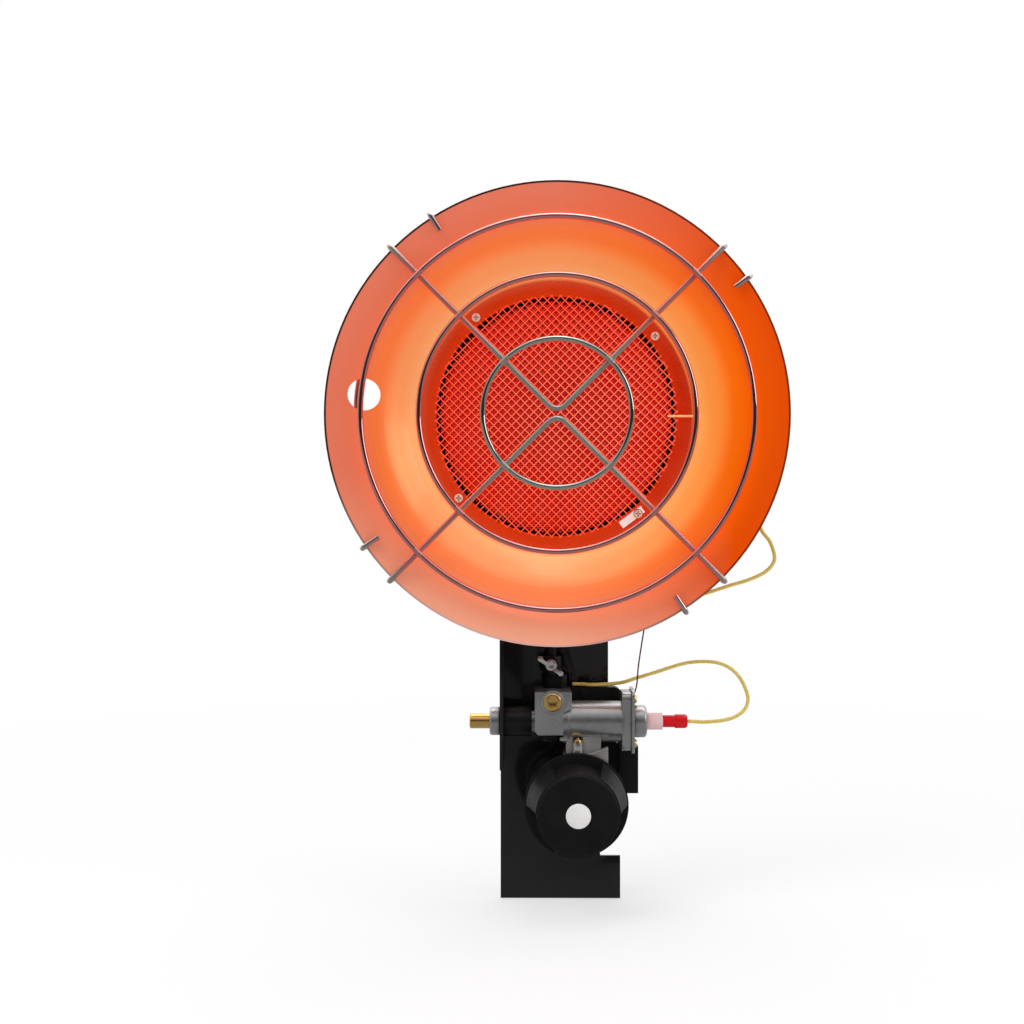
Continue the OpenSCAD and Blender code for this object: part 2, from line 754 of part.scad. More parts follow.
module valve_end_cap() {
    color([0.5, 0.5, 0.51])
    at_valve() translate([plate_end, 0, 0]) rotate([0, 90, 0]) rotate_extrude() {
        square([cap_r, cap_l - 2]);
        square([cap_r - 2, cap_l]);
        translate([cap_r - 2, cap_l - 2]) circle(r = 2, $fn = 32);
    }
}

sleeve_r = 4.6;
sleeve_l = 8.7;
terminal_l = 13.6;
terminal_r = 3.3;
terminal_grip_r = 3.8;
cap_end = plate_end + cap_l;
module terminal_sleeve() {
    color([0.86, 0.68, 0.68])
    at_valve() difference() {
        rod_x(sleeve_r, cap_end, cap_end + sleeve_l);
        rod_x(terminal_r - 1, cap_end - cut, cap_end + sleeve_l + cut);
    }
}

module lead_terminal() {
    color([0.86, 0.04, 0.08])
    at_valve() translate([cap_end + sleeve_l, 0, 0]) {
        rod_x(terminal_r - 1.2, -sleeve_l, 0, 32);
        rod_x(terminal_r, 0, terminal_l, 32);
        rod_x(terminal_grip_r, terminal_l / 2, terminal_l - 0.8, 32);
    }
}

module port_cap() {
    color([0.07, 0.07, 0.07])
    at_valve() translate([-block_left + 8.2, -4, -block_low]) mirror([0, 0, 1])
        rotate_extrude() polygon([[0, 0], [5.2, 0], [5.2, 2.4], [4, 4], [0, 4]]);
}

// ---- Safety button ----

// Depth behind the plate at which the pushed button meets its seat
button_seat = 17;
button_in = button_seat - button_travel;
module button_collar() {
    color([0.6, 0.6, 0.61])
    at_valve() difference() {
        union() {
            translate([-plate_left - collar_l, 0, 0]) rotate([0, 90, 0]) rotate_extrude()
                polygon([[0, 0], [collar_r - 0.8, 0], [collar_r, 0.8], [collar_r, collar_l], [0, collar_l]]);
            rod_x(bush_hole_r - shank_gap, -plate_left, -block_left - 2);
        }
        rod_x(button_bore_r, -plate_left - collar_l - cut, 0);
    }
}

module valve_spacer() {
    color([0.06, 0.06, 0.06])
    at_valve() difference() {
        rod_x(8.2, -plate_left + sheet, -block_left - 2);
        rod_x(bush_hole_r, -plate_left, 0);
    }
}

module safety_button() {
    color([0.8, 0.5, 0.22])
    at_valve() translate([-plate_left - collar_l - button_out, 0, 0]) rotate([0, 90, 0])
        rotate_extrude() polygon([
            [0, 0], [button_r - 0.6, 0], [button_r, 0.6],
            [button_r, button_out + collar_l + button_in], [0, button_out + collar_l + button_in]
        ]);
}

// ---- Regulator ----

reg_back = 40;
neck_r = 13;
thread_r = inlet_hole_r - 0.2;
thread_end = 26.5;
outlet_left = 5.4;
outlet_right = 13.4;
outlet_front = 63.4;
outlet_back = 46;
outlet_top = 36;
ledge_top = 26.5;
ledge_right = 17.2;
ledge_front = 66.6;
gusset_t = 5;
gusset_rise = 4;
pillar_r = 2.7;
pillar_x = 0.8;
pillar_out = 63.9;
screw_base = 33.2;
module regulator_body() {
    color([0.55, 0.55, 0.56])
    difference() {
        union() {
            spun(96) polygon([
                [0, -reg_front], [reg_r - 4, -reg_front], [reg_r - 1.5, -reg_front + 4],
                [reg_r - 1.5, -54], [reg_r, -54], [reg_r, -48], [reg_r - 1.5, -48],
                [reg_r - 3, -reg_back], [neck_r, -reg_back], [neck_r, -plate_out],
                [thread_r, -plate_out], [thread_r, -thread_end], [0, -thread_end]
            ]);
            translate([-outlet_left, -outlet_front, 0])
                cube([outlet_left + outlet_right, outlet_front - outlet_back, outlet_top]);
            translate([-outlet_left - 3.4, -outlet_front - 0.8, outlet_top - 2.2])
                cube([4, outlet_front - outlet_back - 9, 2]);
            translate([-outlet_left - 1.5, -ledge_front, ledge_top - 4])
                cube([outlet_left + 1.5 + outlet_right, ledge_front - outlet_back, 4]);
            translate([0, gusset_t - ledge_front, 0]) rotate([90, 0, 0]) linear_extrude(gusset_t)
                polygon([[5.5, ledge_top - 8], [ledge_right, ledge_top - 8],
                         [ledge_right, ledge_top + gusset_rise], [5.5, ledge_top]]);
        }
        at_valve() rod_x(barrel_r + 0.02, -block_waist, outlet_right + cut, 96);
        at_valve() rod_x(barrel_band_r + 0.02, -block_waist - 0.02, -block_waist + barrel_band_l + 0.02, 96);
        translate([pillar_x, -pillar_out, ledge_top]) cylinder(r = pillar_r + 0.02, h = outlet_top);
        rod_y(stem_r - 1, -reg_front - cut, -reg_front + 6);
        rod_y(3, -thread_end - 14, -thread_end + cut, 32);
        translate([-block_left - 5, -reg_front - cut, valve_z - block_low])
            cube([30, 40, 20]);
    }
}

module outlet_pillar() {
    color([0.82, 0.82, 0.82])
    translate([pillar_x, -pillar_out, ledge_top]) cylinder(r = pillar_r, h = screw_base - ledge_top);
}

module pillar_screw() {
    color([0.82, 0.6, 0.22])
    translate([pillar_x, -pillar_out - 1.4, screw_base]) {
        cylinder(r1 = 2.4, r2 = 2, h = 1.6, $fn = 32);
        cylinder(r = 0.8, h = 2.6, $fn = 24);
    }
}

stem_end = reg_front + 18;
module regulator_stem() {
    color([0.8, 0.62, 0.28])
    union() {
        rod_y(stem_r, -stem_end, -reg_front);
        rod_y(stem_r - 1.02, -reg_front, -reg_front + 5);
    }
}

// ---- Control knob ----

knob_back = reg_front + 3;
knob_front = knob_back + knob_l;
knob_flange_t = 3.4;
knob_chamfer = 1.4;
lobe_base_r = knob_r - 0.8;
lobe_front_r = knob_face_r + 0.9;
knob_cavity_r = 19;
knob_hub_r = 8;
module knob_core() {
    spun(fine) polygon([
        [0, -knob_front], [knob_face_r - knob_chamfer, -knob_front],
        [knob_face_r, -knob_front + knob_chamfer], [knob_face_r + 0.5, -knob_back - knob_flange_t],
        [knob_r, -knob_back - knob_flange_t], [knob_r, -knob_back], [0, -knob_back]
    ]);
}
// One grip lobe, centred on an angle in the plane of the knob's face
module knob_lobe(angle) {
    rotate([0, -(angle - lobe_half), 0]) rotate([90, 0, 0])
        rotate_extrude(angle = 2 * lobe_half, $fn = fine) polygon([
            [knob_cavity_r + 1, knob_back + 1], [lobe_base_r, knob_back + 1],
            [lobe_base_r, knob_back + knob_flange_t + 2], [lobe_front_r, knob_front - 6],
            [lobe_front_r - 0.4, knob_front - knob_chamfer - 0.4],
            [knob_cavity_r + 1, knob_front - knob_chamfer - 0.4]
        ]);
}
module pressure_knob() {
    color([0.06, 0.06, 0.065])
    difference() {
        union() {
            knob_core();
            for (angle = [30, 150, 270]) knob_lobe(angle);
        }
        spun(96) polygon([
            [knob_hub_r, -knob_back + cut], [knob_cavity_r, -knob_back + cut],
            [knob_cavity_r, -knob_back - 14], [knob_hub_r, -knob_back - 14]
        ]);
        rod_y(stem_r + run_gap, -stem_end - 0.5, -knob_back + cut);
        rod_y(disc_r, -knob_front - cut, -knob_front + 1, 96);
    }
}

module knob_disc() {
    color([0.95, 0.95, 0.95])
    rod_y(disc_r - 0.05, -knob_front - 0.2, -knob_front + 1, 96);
}

// ---- Tank connection ----

bracket_nut_t = 5;
module bracket_nut() {
    color([0.8, 0.62, 0.28])
    difference() {
        rod_y(15.4, -plate_back, -plate_back + bracket_nut_t, 6);
        rod_y(thread_r + 0.02, -plate_back - cut, -plate_back + bracket_nut_t + cut);
    }
}

nut_back = nipple_past;
nut_front = nut_back + nut_l;
hub_t = 5;
neck_pin_r = 8;
neck_stop_r = 10.5;
stop_t = 2;
stop_y = nut_front - hub_t - gap;
nipple_l = 14;
nipple_bore_r = 3;
module inlet_nipple() {
    color([0.8, 0.62, 0.28])
    difference() {
        union() {
            rod_y(thread_r - 0.4, -thread_end, -nut_front - gap, 6);
            rod_y(neck_pin_r, -nut_front - gap, -stop_y, 96);
            rod_y(neck_stop_r, -stop_y, -stop_y + stop_t);
            rod_y(neck_pin_r, -stop_y + stop_t, -nipple_l);
            rod_y(nipple_r, -nipple_l, 0, 96);
        }
        rod_y(nipple_bore_r, -thread_end - cut, cut, 48);
        rod_y(nipple_bore_r + 1.4, -3, cut, 48);
    }
}

module nipple_seal() {
    color([0.05, 0.05, 0.05])
    difference() {
        rod_y(nipple_bore_r + 1.4, -3, 0, 48);
        rod_y(nipple_bore_r - 0.4, -3 - cut, cut, 48);
    }
}

nut_grips = 16;
module coupling_nut() {
    color([0.08, 0.08, 0.08])
    difference() {
        spun(fine) polygon([
            [hub_bore_r, -nut_front], [nut_r - 5, -nut_front], [nut_r, -nut_front + 4],
            [nut_r, -nut_back - 1.5], [nut_r - 1.5, -nut_back], [nut_bore_r, -nut_back],
            [nut_bore_r, -nut_front + hub_t], [hub_bore_r, -nut_front + hub_t]
        ]);
        for (k = [0:nut_grips - 1]) rotate([0, k * 360 / nut_grips, 0])
            translate([nut_r + 1.6, 0, 0]) rod_y(3, -nut_front - cut, -nut_back + cut, 32);
    }
}

// ---- Leads ----

function unit(v) = v / norm(v);
// A point of the smooth curve between b and c
function between(a, b, c, d, t) =
    0.5 * (2 * b + (c - a) * t + (2 * a - 5 * b + 4 * c - d) * t * t + (3 * b - a - 3 * c + d) * t * t * t);
function route(points, steps) = [
    for (i = [0:len(points) - 2], k = [0:steps - 1])
        let (
            b = points[i], c = points[i + 1],
            a = i > 0 ? points[i - 1] : 2 * b - c,
            d = i < len(points) - 2 ? points[i + 2] : 2 * c - b
        ) between(a, b, c, d, k / steps),
    points[len(points) - 1]
];
function heading(path, i) = unit(path[min(i + 1, len(path) - 1)] - path[max(i - 1, 0)]);
function across(n, t) = unit(n - (n * t) * t);
function side_vectors(path) = [
    for (i = 0, n = across([0.3, 1, 0.2], heading(path, 0)); i < len(path);
         i = i + 1, n = i < len(path) ? across(n, heading(path, i)) : n) n
];
// A round lead swept along a path
module lead(points, diameter, steps, sides = 8) {
    path = route(points, steps);
    normals = side_vectors(path);
    rings = len(path);
    skin = [
        for (i = [0:rings - 1], k = [0:sides - 1])
            let (u = normals[i], v = cross(heading(path, i), u), a = k * 360 / sides)
                path[i] + diameter / 2 * (cos(a) * u + sin(a) * v)
    ];
    faces = concat(
        [[for (k = [sides - 1:-1:0]) k]],
        [for (i = [0:rings - 2], k = [0:sides - 1])
            [i * sides + k, i * sides + (k + 1) % sides,
             (i + 1) * sides + (k + 1) % sides, (i + 1) * sides + k]],
        [[for (k = [0:sides - 1]) (rings - 1) * sides + k]]
    );
    polyhedron(points = skin, faces = [for (f = faces) reversed(f)]);
}

lead_long_route = [
    [61.1, -55, 43.4], [66, -55, 43.2], [71, -55, 43], [81, -55, 44], [88, -54, 46], [93, -53, 49.7],
    [94.8, -53, 55], [93.9, -52, 60], [90.8, -51, 66.5], [85.4, -50, 72], [77.8, -49, 75],
    [68.5, -48, 75.4], [59, -47.5, 74], [45, -47, 69.5], [33.7, -46.5, 66], [25, -46, 63.4],
    [11, -43.5, 62], [4, -40.5, 62], [-1.3, -40, 62]
];
lead_rear_route = [
    [dish_x + probe_end, probe_y - rim_out, dish_z], [dish_x + probe_end + 4.7, probe_y - rim_out, dish_z],
    [93, -56, 206], [97, -59, 194], [97, -61, 178], [97, -62, 162],
    [100.4, -62, 149], [105.3, -62, 142], [107.8, -62, 134], [106.4, -62, 129.4],
    [102, -61, 125], [93.4, -60, 121], [83.6, -59, 118], [72, -57, 114], [57, -49, 108],
    [42, -38, 101], [28, -29.5, 93], [19.5, -27, 82], [17.5, -27, 70], [18, -27.4, 60],
    [19.4, -29.8, 53.4], [20, -34, 51.6]
];
ground_route = [
    [33.65, -46.9, 158.15], [34.5, -44, 157], [38, -43.5, 148], [41, -46, 130], [41, -50, 110],
    [37.5, -52, 92], [34.6, -53.5, 74], [33.6, -54.8, 64], [32.3, -55, 58.8]
];
module lead_long() color([0.80, 0.68, 0.25]) lead(lead_long_route, lead_d, 2);
module lead_rear() color([0.80, 0.68, 0.25]) lead(lead_rear_route, lead_d, 2);
module ground_wire() color([0.45, 0.2, 0.14]) lead(ground_route, ground_d, 2);

reflector_dish();
burner_ring();
ring_screws();
mesh_front();
mesh_spacer();
mesh_rear();
diffuser_plate();
burner_pan();
mixing_tube();
orifice_holder();
gas_tube();
outlet_union();
tube_clamp();
wing_screw();
thermocouple();
thermocouple_nut();
ring_bracket();
guard_outer_ring();
guard_middle_ring();
guard_inner_ring();
guard_upper_wire();
guard_lower_wire();
guard_rear_ring();
guard_hooks();
support_bracket();
head_bolts();
tip_switch();
switch_screws();
valve_body();
valve_plug();
valve_end_plate();
flange_screws();
valve_end_cap();
terminal_sleeve();
lead_terminal();
lead_long();
lead_rear();
ground_wire();
button_collar();
valve_spacer();
safety_button();
port_cap();
regulator_body();
outlet_pillar();
pillar_screw();
regulator_stem();
pressure_knob();
knob_disc();
bracket_nut();
inlet_nipple();
nipple_seal();
coupling_nut();
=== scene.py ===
"""Looks of a portable heater: a spun reflector with a wire guard, a glowing burner and a gas valve.

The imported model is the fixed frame. Every length is in metres, in the frame's own axes: X to the
right, Y away from the viewer and Z up.
"""

from __future__ import annotations

import json
import logging
import math
from collections.abc import Sequence
from dataclasses import dataclass
from enum import Enum

import bpy
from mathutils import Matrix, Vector

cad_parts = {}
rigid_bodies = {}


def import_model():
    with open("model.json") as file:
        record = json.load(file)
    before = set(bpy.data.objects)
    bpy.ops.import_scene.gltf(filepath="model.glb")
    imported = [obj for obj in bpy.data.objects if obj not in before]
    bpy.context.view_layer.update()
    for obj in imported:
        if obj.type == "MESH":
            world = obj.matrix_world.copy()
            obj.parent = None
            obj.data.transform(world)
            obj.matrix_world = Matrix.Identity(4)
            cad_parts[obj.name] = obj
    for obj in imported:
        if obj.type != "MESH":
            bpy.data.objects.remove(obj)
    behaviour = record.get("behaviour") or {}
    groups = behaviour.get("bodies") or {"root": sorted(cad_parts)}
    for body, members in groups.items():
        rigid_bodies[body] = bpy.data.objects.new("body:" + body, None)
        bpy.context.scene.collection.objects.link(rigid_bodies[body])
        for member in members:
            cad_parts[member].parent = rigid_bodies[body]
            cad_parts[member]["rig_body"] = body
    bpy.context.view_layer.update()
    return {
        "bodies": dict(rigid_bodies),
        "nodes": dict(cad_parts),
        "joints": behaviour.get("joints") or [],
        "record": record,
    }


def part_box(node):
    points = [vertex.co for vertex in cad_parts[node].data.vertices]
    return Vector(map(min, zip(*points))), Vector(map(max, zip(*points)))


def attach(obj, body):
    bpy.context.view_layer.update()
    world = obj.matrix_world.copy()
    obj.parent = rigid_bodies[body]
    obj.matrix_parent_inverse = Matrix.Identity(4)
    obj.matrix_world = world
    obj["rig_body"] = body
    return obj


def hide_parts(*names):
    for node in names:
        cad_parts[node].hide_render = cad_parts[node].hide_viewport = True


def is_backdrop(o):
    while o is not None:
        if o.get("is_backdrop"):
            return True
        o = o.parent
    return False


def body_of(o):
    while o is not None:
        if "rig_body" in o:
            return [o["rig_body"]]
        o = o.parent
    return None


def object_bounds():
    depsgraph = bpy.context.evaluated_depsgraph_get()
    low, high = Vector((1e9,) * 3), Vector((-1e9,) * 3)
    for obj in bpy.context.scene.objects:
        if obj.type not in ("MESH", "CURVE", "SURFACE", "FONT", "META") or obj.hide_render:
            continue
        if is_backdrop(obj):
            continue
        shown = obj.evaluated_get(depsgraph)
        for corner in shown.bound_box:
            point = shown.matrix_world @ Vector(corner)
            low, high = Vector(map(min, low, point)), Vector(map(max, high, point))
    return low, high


LOG = logging.getLogger("heater")
MM = 0.001
HEAD_X = -10.7 * MM
HEAD_Z = 210.9 * MM
BLACK = (0.0, 0.0, 0.0)
WHITE = (1.0, 1.0, 1.0)

Colour = tuple[float, float, float]
Place = tuple[float, float, float]
Node = bpy.types.Node
Piece = bpy.types.Object
Socket = bpy.types.NodeSocket
Tree = bpy.types.NodeTree


def srgb(red: int, green: int, blue: int) -> Colour:
    """Turns screen values into scene-linear ones.

    Args:
        red: Red from 0 to 255.
        green: Green from 0 to 255.
        blue: Blue from 0 to 255.

    Returns:
        The linear colour.
    """

    def one(value: int) -> float:
        """One channel, made linear."""
        share = value / 255
        return share / 12.92 if share <= 0.04045 else ((share + 0.055) / 1.055) ** 2.4

    return one(red), one(green), one(blue)


def rgba(colour: Colour) -> tuple[float, float, float, float]:
    """The colour with full opacity."""
    return (*colour, 1.0)


@dataclass(frozen=True)
class Span:
    """A span of values, and what its two ends become."""

    low: float
    high: float
    out_low: float = 0.0
    out_high: float = 1.0


class Graph:
    """Lays and joins nodes in one tree."""

    def __init__(self, tree: Tree, effects: Effects | None = None) -> None:
        """Keeps the tree that is worked on, and the groups that it can use."""
        self.tree = tree
        self.effects = effects

    @classmethod
    def of(cls, owner: bpy.types.ID, effects: Effects | None = None) -> Graph:
        """Empties the tree of a material or of a world.

        Args:
            owner: The material or world.
            effects: The shared shader groups that it can use.

        Returns:
            The graph of its tree.
        """
        owner.use_nodes = True
        owner.node_tree.nodes.clear()
        return cls(owner.node_tree, effects)

    def node(self, kind: str, inputs: dict | None = None, **settings: object) -> Node:
        """Adds one node.

        Args:
            kind: The node's type name.
            inputs: Values or sockets for its inputs, by name or number.
            settings: Attributes that are set on the node.

        Returns:
            The new node.
        """
        made = self.tree.nodes.new(kind)
        for name, value in settings.items():
            setattr(made, name, value)
        for key, value in (inputs or {}).items():
            self.feed(value, made.inputs[key])
        return made

    def feed(self, value: object, socket: Socket) -> None:
        """Joins a socket to an input, or sets the input's value.

        Args:
            value: The socket or the value.
            socket: The input.
        """
        if isinstance(value, bpy.types.NodeSocket):
            self.tree.links.new(value, socket)
        else:
            socket.default_value = value

    def math(self, operation: str, *values: object, clamp: bool = False) -> Socket:
        """A sum of one or two values."""
        inputs = dict(enumerate(values))
        return self.node("ShaderNodeMath", inputs, operation=operation, use_clamp=clamp).outputs[0]

    def times(self, first: object, second: object) -> Socket:
        """The product of two values."""
        return self.math("MULTIPLY", first, second)

    def mix(self, factor: object, first: object, second: object) -> Socket:
        """A colour between two colours.

        Args:
            factor: Share of the second colour.
            first: The first colour, as a socket or as three numbers.
            second: The second colour, likewise.

        Returns:
            The mixed colour.
        """
        ends = [rgba(end) if isinstance(end, tuple) else end for end in (first, second)]
        inputs = {0: factor, 6: ends[0], 7: ends[1]}
        return self.node("ShaderNodeMix", inputs, data_type="RGBA").outputs[2]

    def spread(self, value: object, span: Span) -> Socket:
        """Maps a value from one span to another, and holds it there."""
        inputs = {0: value, 1: span.low, 2: span.high, 3: span.out_low, 4: span.out_high}
        return self.node("ShaderNodeMapRange", inputs).outputs[0]

    def place(self) -> Socket:
        """The object's own coordinates."""
        return self.node("ShaderNodeTexCoord").outputs["Object"]

    def normal(self) -> Socket:
        """The surface's normal."""
        return self.node("ShaderNodeNewGeometry").outputs["Normal"]

    def parts(self, vector: Socket) -> bpy.types.bpy_prop_collection:
        """The three parts of a vector."""
        return self.node("ShaderNodeSeparateXYZ", {0: vector}).outputs

    def depth(self) -> Socket:
        """How far back the surface lies in the frame."""
        return self.parts(self.place())[1]

    def offsets(self, x: object, z: object) -> tuple[Socket, Socket, Socket]:
        """Where the surface lies from a line along the Y axis.

        Args:
            x: The line's place across.
            z: The line's height.

        Returns:
            The offset to the right, the offset upward and the distance.
        """
        parts = self.parts(self.place())
        across = self.math("SUBTRACT", parts[0], x)
        up = self.math("SUBTRACT", parts[2], z)
        squares = self.math("ADD", self.times(across, across), self.times(up, up))
        return across, up, self.math("SQRT", squares)

    def noise(self, scale: object, detail: float, vector: Socket | None = None) -> Socket:
        """Noise over a vector.

        Args:
            scale: Waves to a metre.
            detail: Octaves of the noise.
            vector: The vector, or None for the object's own coordinates.

        Returns:
            The noise's value.
        """
        vector = self.place() if vector is None else vector
        inputs = {"Vector": vector, "Scale": scale, "Detail": detail}
        return self.node("ShaderNodeTexNoise", inputs).outputs[0]

    def group(self, tree: Tree, inputs: dict | None = None) -> bpy.types.bpy_prop_collection:
        """Places a shared group and gives its outputs."""
        return self.node("ShaderNodeGroup", inputs, node_tree=tree).outputs

    def burner_light(self) -> bpy.types.bpy_prop_collection:
        """The burner light field's outputs, which place the painted light round the burner."""
        return self.group(self.effects.burner_light)


class Effects:
    """Shader groups that several finishes share. Each is built once."""

    RAYS = 4
    FINE_SHARE = 0.35
    WORN_EDGE = Span(0.02, 0.16)
    WORN_THROUGH = Span(0.42, 0.62)
    GRAIN_TONE = Span(0.36, 0.64)
    FACING_UP = Span(0.35, 1.0)
    DUST_CLOUD = Span(0.35, 0.7)
    CLOSED_IN = Span(0.35, 0.8, 1.0, 0.0)
    TO_RIGHT = Span(0.0, 0.095)
    TO_FOOT = Span(-0.12, -0.03, 1.0, 0.0)

    def __init__(self) -> None:
        """Builds every group."""
        self.edge = self._edge()
        self.grain = self._grain()
        self.lines = self._lines()
        self.dust = self._dust()
        self.burner_light = self._burner_light()
        self.hollow_shade = self._hollow_shade()

    @staticmethod
    def _begin(
        name: str, inputs: dict[str, float], outputs: Sequence[str]
    ) -> tuple[Graph, dict[str, Socket], Node]:
        """Starts a group with its named sockets.

        Args:
            name: The group's name.
            inputs: Value inputs and their defaults.
            outputs: Names of the outputs; one that starts with Normal is a vector.

        Returns:
            The graph, the input sockets by name, and the output node.
        """
        tree = bpy.data.node_groups.new(name, "ShaderNodeTree")
        for label, default in inputs.items():
            socket = tree.interface.new_socket(
                label, in_out="INPUT", socket_type="NodeSocketFloat"
            )
            socket.default_value = default
        for label in outputs:
            kind = "NodeSocketVector" if label.startswith("Normal") else "NodeSocketFloat"
            tree.interface.new_socket(label, in_out="OUTPUT", socket_type=kind)
        graph = Graph(tree)
        entry = graph.node("NodeGroupInput")
        end = graph.node("NodeGroupOutput")
        return graph, {label: entry.outputs[label] for label in inputs}, end

    def _edge(self) -> Tree:
        """Mask of worn outer edges, and a normal that rounds the edges.

        Returns:
            The group.
        """
        defaults = {"Radius": 0.0006, "Amount": 0.5, "Breakup": 900.0}
        graph, given, end = self._begin("edge_wear", defaults, ["Mask", "Normal"])
        bevel = graph.node("ShaderNodeBevel", {"Radius": given["Radius"]}, samples=self.RAYS)
        both = {0: bevel.outputs[0], 1: graph.normal()}
        dot = graph.node("ShaderNodeVectorMath", both, operation="DOT_PRODUCT").outputs["Value"]
        edge = graph.spread(graph.math("SUBTRACT", 1.0, dot), self.WORN_EDGE)
        torn = graph.spread(graph.noise(given["Breakup"], detail=4.0), self.WORN_THROUGH)
        mask = graph.math("MULTIPLY", graph.times(edge, torn), given["Amount"], clamp=True)
        graph.feed(mask, end.inputs["Mask"])
        graph.feed(bevel.outputs[0], end.inputs["Normal"])
        return graph.tree

    def _grain(self) -> Tree:
        """Height and tone of a moulded, cast or sprayed surface.

        Returns:
            The group.
        """
        defaults = {"Scale": 900.0, "Patch": 60.0}
        graph, given, end = self._begin("surface_grain", defaults, ["Height", "Tone"])
        fine = graph.noise(given["Scale"], detail=3.0)
        patch = graph.noise(given["Patch"], detail=4.0)
        both = (graph.times(fine, self.FINE_SHARE), graph.times(patch, 1.0 - self.FINE_SHARE))
        graph.feed(fine, end.inputs["Height"])
        graph.feed(graph.spread(graph.math("ADD", *both), self.GRAIN_TONE), end.inputs["Tone"])
        return graph.tree

    def _lines(self) -> Tree:
        """Fine turning or drawing lines round the Y axis and along it.

        Returns:
            The group.
        """
        defaults = {"Scale": 1500.0, "Centre X": 0.0, "Centre Z": 0.0}
        graph, given, end = self._begin("drawn_lines", defaults, ["Lines"])
        radius = graph.offsets(given["Centre X"], given["Centre Z"])[2]
        line = graph.node("ShaderNodeCombineXYZ", {0: radius, 1: graph.depth()}).outputs[0]
        noise = graph.noise(given["Scale"], detail=2.0, vector=line)
        graph.feed(noise, end.inputs["Lines"])
        return graph.tree

    def _dust(self) -> Tree:
        """Mask of dust on faces that look up.

        Returns:
            The group.
        """
        graph, given, end = self._begin("dust_film", {"Amount": 0.3, "Scale": 220.0}, ["Mask"])
        facing = graph.spread(graph.parts(graph.normal())[2], self.FACING_UP)
        cloud = graph.spread(graph.noise(given["Scale"], detail=5.0), self.DUST_CLOUD)
        mask = graph.math("MULTIPLY", graph.times(facing, cloud), given["Amount"], clamp=True)
        graph.feed(mask, end.inputs["Mask"])
        return graph.tree

    def _hollow_shade(self) -> Tree:
        """Mask of painted shade in slots and corners, from ambient occlusion.

        Returns:
            The group.
        """
        graph, given, end = self._begin("hollow_shade_painted", {"Reach": 0.001, "Amount": 0.5}, ["Mask"])
        inputs = {"Distance": given["Reach"]}
        sky = graph.node("ShaderNodeAmbientOcclusion", inputs, samples=self.RAYS).outputs["AO"]
        closed = graph.spread(sky, self.CLOSED_IN)
        mask = graph.math("MULTIPLY", closed, given["Amount"], clamp=True)
        graph.feed(mask, end.inputs["Mask"])
        return graph.tree

    def _burner_light(self) -> Tree:
        """Distance from the burner's axis, and shares of the way to the right and to the foot, for
        painted light.

        Returns:
            The group.
        """
        graph, _, end = self._begin("burner_light_field", {}, ["Radius", "Right", "Below"])
        across, up, radius = graph.offsets(HEAD_X, HEAD_Z)
        graph.feed(radius, end.inputs["Radius"])
        graph.feed(graph.spread(across, self.TO_RIGHT), end.inputs["Right"])
        graph.feed(graph.spread(up, self.TO_FOOT), end.inputs["Below"])
        return graph.tree


